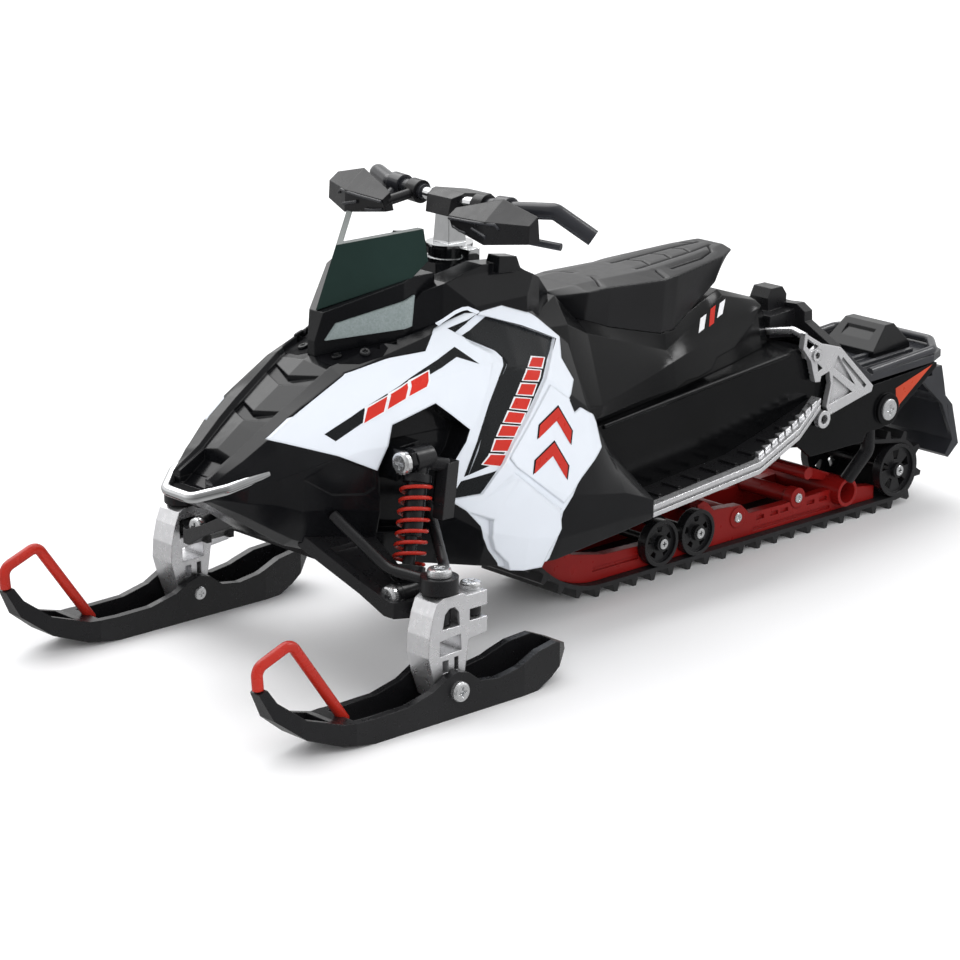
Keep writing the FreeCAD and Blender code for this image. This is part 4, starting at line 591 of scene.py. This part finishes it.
coils = bmesh.new()
for side in (1, -1):
    coil = bmesh.new()
    bmesh.ops.create_circle(coil, segments=WIRE_SEGMENTS, radius=WIRE_RADIUS)
    bmesh.ops.rotate(coil, verts=coil.verts, matrix=Matrix.Rotation(math.pi / 2, 3, "X"))
    bmesh.ops.translate(coil, verts=coil.verts, vec=(COIL_RADIUS, 0, 0))
    first = coil.edges[:]
    steps = COIL_TURNS * COIL_STEPS
    last = bmesh.ops.spin(
        coil, geom=first, cent=(0, 0, 0), axis=(0, 0, side), dvec=(0, 0, COIL_LENGTH / steps),
        angle=2 * math.pi * COIL_TURNS, steps=steps,
    )["geom_last"]
    bmesh.ops.edgeloop_fill(coil, edges=first)
    bmesh.ops.edgeloop_fill(coil, edges=[e for e in last if isinstance(e, bmesh.types.BMEdge)])
    bmesh.ops.recalc_face_normals(coil, faces=coil.faces)
    top = on_side(SHOCK_TOP, side)
    down = (on_side(SHOCK_FOOT, side) - top).normalized()
    turn = down.to_track_quat("Z", "Y").to_matrix().to_4x4()
    move = Matrix.Scale(MM, 4) @ Matrix.Translation(top + down * COIL_START) @ turn
    bmesh.ops.transform(coil, matrix=move, verts=coil.verts)
    add_to(coils, coil)
for face in coils.faces:
    face.smooth = True
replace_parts(finished("coil_springs", coils, red), "springs")


# Track: soft rubbery plastic with a dull grain, one closed loop with its lugs pushed over its
# wheels.

rubber = moulded("rubber", (0.014, 0.014, 0.015), roughness=0.55, gloss=0.35,
                 grain_mm=0.25, depth_mm=0.010, edge_mm=0.12)
dress(rubber, "track")


# Seat: a stepped cushion in black vinyl with sewn lines. It is drawn tight over its foam, a
# little crowned between the seams and drawn in along them, and clips on the fairing.

# Sewn lines in mm, seen from above. The side ones are sewn on both sides.
MIDDLE_SEAMS = [
    [(-19.6, 3.0), (-20.8, 0.0), (-19.6, -3.0)],
    [(-25.4, 2.7), (-26.6, 0.0), (-25.4, -2.7)],
    [(-30.8, 2.4), (-31.8, 0.0), (-30.8, -2.4)],
]
SIDE_SEAMS = [
    [(-16.0, 3.2), (-31.0, 2.4), (-37.2, 1.5)],
    [(-21.6, 6.6), (-30.0, 5.9), (-34.0, 4.6), (-36.4, 1.6)],
    [(-18.0, 6.2), (-17.6, 8.6)],
    [(-5.4, 2.4), (-2.8, 6.9)],
]
SEAM_LINES = MIDDLE_SEAMS + SIDE_SEAMS + [[(x, -y) for x, y in line] for line in SIDE_SEAMS]
SEAM_DEPTH = 0.32
SEAM_WIDTH = 0.20
CROWN = 0.12
CROWN_REACH = 1.2
THREAD_WIDTH = 0.26
THREAD_ROUGHNESS = 0.95
# How far a face looks up where the seams fade in, and over how much more they do.
TOP_FROM = 0.5
TOP_BLEND = 0.3
FLAT_ANGLE = math.radians(1.0)
ARRIS_ANGLE = math.radians(12)
ARRIS_ROUNDING = 0.35 * MM
ARRIS_SEGMENTS = 2
COVER_VOXEL = 0.17 * MM
SMOOTHINGS = 5


def seam_distance(x, y):
    """How far a point of the seat's top is from the nearest sewn line, in mm."""
    distances = []
    for line in SEAM_LINES:
        for start, end in zip(line, line[1:]):
            run = Vector(end) - Vector(start)
            reach = Vector((x, y)) - Vector(start)
            share = max(0.0, min(1.0, reach.dot(run) / run.length_squared))
            distances.append((reach - run * share).length)
    return min(distances)


def worked_out(tree, operation, first, second):
    """A number from two others, such as their product or the greater of them."""
    node = tree.nodes.new("ShaderNodeMath")
    node.operation = operation
    tree.links.new(first, node.inputs[0])
    tree.links.new(second, node.inputs[1])
    return node.outputs[0]


seat_vinyl = moulded("seat_vinyl", (0.006, 0.006, 0.007), roughness=0.31, gloss=0.40,
                     grain_mm=0.25, depth_mm=0.0020, edge_mm=0.25, uneven=0.06)
tree = seat_vinyl.node_tree
sheen = tree.nodes["Principled BSDF"].inputs["Roughness"]
thread = tree.nodes.new("ShaderNodeAttribute")
thread.attribute_name = "seam"
dull = worked_out(tree, "MAXIMUM", sheen.links[0].from_socket, thread.outputs["Fac"])
tree.links.new(dull, sheen)

cushion = bmesh.new()
cushion.from_mesh(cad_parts["seat"].data)
bmesh.ops.remove_doubles(cushion, verts=cushion.verts, dist=CAD_WELD)
bmesh.ops.dissolve_limit(cushion, angle_limit=FLAT_ANGLE, verts=cushion.verts, edges=cushion.edges)
arrises = [
    e for e in cushion.edges
    if len(e.link_faces) == 2 and e.calc_face_angle(0.0) > ARRIS_ANGLE
]
bmesh.ops.bevel(
    cushion, geom=arrises, offset=ARRIS_ROUNDING, offset_type="OFFSET", affect="EDGES",
    segments=ARRIS_SEGMENTS, profile=0.5, material=-1, clamp_overlap=True,
)
seat_cover = finished("seat_cover", cushion, seat_vinyl)
remesh = seat_cover.modifiers.new("remesh", "REMESH")
remesh.mode = "VOXEL"
remesh.voxel_size = COVER_VOXEL
evaluated = seat_cover.evaluated_get(bpy.context.evaluated_depsgraph_get())
dense = bpy.data.meshes.new_from_object(evaluated)
seat_cover.modifiers.clear()
seat_cover.data = dense
cushion = bmesh.new()
cushion.from_mesh(dense)
for turn in range(SMOOTHINGS):
    bmesh.ops.smooth_vert(
        cushion, verts=cushion.verts, factor=0.5, use_axis_x=True, use_axis_y=True, use_axis_z=True,
    )
cushion.normal_update()
seam = cushion.verts.layers.float.new("seam")
for vertex in cushion.verts:
    share = max(0.0, min(1.0, (vertex.normal.z - TOP_FROM) / TOP_BLEND))
    if share > 0:
        reach = seam_distance(vertex.co.x / MM, vertex.co.y / MM)
        swell = CROWN * min(1.0, reach / CROWN_REACH)
        rise = swell - SEAM_DEPTH * math.exp(-(reach / SEAM_WIDTH) ** 2)
        vertex.co += vertex.normal * (rise * share * MM)
        vertex[seam] = THREAD_ROUGHNESS * share * math.exp(-(reach / THREAD_WIDTH) ** 2)
for face in cushion.faces:
    face.smooth = True
cushion.to_mesh(seat_cover.data)
cushion.free()
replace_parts(seat_cover, "seat")


# Floor, light and camera: a white table in a bright soft studio, seen from the front left. The
# room is darker behind the camera and below the table, and the backdrop is plain white.

TABLE_SIZE = 6.0
ROOM_AHEAD = 0.85
ROOM_BEHIND = 0.22
ROOM_BELOW = 0.48
CAMERA_PLACE = (0.41182, 0.41885, 0.19533)
CAMERA_AZIMUTH = math.radians(136.87)
CAMERA_ELEVATION = math.radians(16.63)
CAMERA_ROLL = math.radians(-0.358)
CAMERA_SENSOR_MM = 36.0
CAMERA_LENS_MM = 126.5

bpy.ops.mesh.primitive_plane_add(size=TABLE_SIZE, location=(0, 0, 0))
floor = bpy.context.object
floor.name = "floor"
paper, tree, shader, place = new_material("paper")
shader.inputs["Base Color"].default_value = (0.93, 0.93, 0.94, 1.0)
shader.inputs["Roughness"].default_value = 0.8
floor.data.materials.append(paper)
floor.visible_glossy = False

back = Vector((
    math.sin(CAMERA_AZIMUTH) * math.cos(CAMERA_ELEVATION),
    -math.cos(CAMERA_AZIMUTH) * math.cos(CAMERA_ELEVATION),
    math.sin(CAMERA_ELEVATION),
))
world = bpy.data.worlds.new("studio")
world.use_nodes = True
room = world.node_tree
direction = room.nodes.new("ShaderNodeTexCoord").outputs["Generated"]
toward = room.nodes.new("ShaderNodeVectorMath")
toward.operation = "DOT_PRODUCT"
toward.inputs[1].default_value = back
room.links.new(direction, toward.inputs[0])
shade = ramp(room, toward.outputs["Value"], ROOM_AHEAD, ROOM_BEHIND, 0.10, 0.95)
parts = room.nodes.new("ShaderNodeSeparateXYZ")
room.links.new(direction, parts.inputs[0])
table = ramp(room, parts.outputs["Z"], ROOM_BELOW, 1.0, -0.10, 0.06)
room_light = worked_out(room, "MULTIPLY", shade, table)
backdrop = room.nodes.new("ShaderNodeLightPath").outputs["Is Camera Ray"]
background = room.nodes["Background"]
background.inputs["Color"].default_value = (1.0, 1.0, 1.0, 1.0)
room.links.new(worked_out(room, "MAXIMUM", room_light, backdrop), background.inputs["Strength"])
bpy.context.scene.world = world


def soft_light(name, from_direction, strength, spread_degrees, shines=True, fills=True):
    """A wide sun, for a studio's soft shadows. It can be kept out of gloss, or out of all else."""
    light = bpy.data.lights.new(name, "SUN")
    light.energy = strength
    light.angle = math.radians(spread_degrees)
    lamp = bpy.data.objects.new(name, light)
    lamp.rotation_mode = "QUATERNION"
    lamp.rotation_quaternion = Vector(from_direction).to_track_quat("Z", "Y")
    lamp.visible_glossy = shines
    lamp.visible_diffuse = fills
    bpy.context.scene.collection.objects.link(lamp)


soft_light("back_light", (-0.10, -0.55, 0.85), strength=1.8, spread_degrees=62)
soft_light("fill_light", (0.35, 0.80, 0.55), strength=1.7, spread_degrees=80, shines=False)
soft_light("edge_glint", (-0.655, 0.285, 0.70), strength=0.45, spread_degrees=14, fills=False)

lens_data = bpy.data.cameras.new("camera")
lens_data.sensor_width = CAMERA_SENSOR_MM
lens_data.lens = CAMERA_LENS_MM
camera = bpy.data.objects.new("camera", lens_data)
camera.location = CAMERA_PLACE
camera.rotation_mode = "QUATERNION"
level = (-back).to_track_quat("-Z", "Y")
camera.rotation_quaternion = level @ Matrix.Rotation(-CAMERA_ROLL, 3, "Z").to_quaternion()
bpy.context.scene.collection.objects.link(camera)
bpy.context.scene.camera = camera
bpy.context.scene.view_settings.view_transform = "Standard"
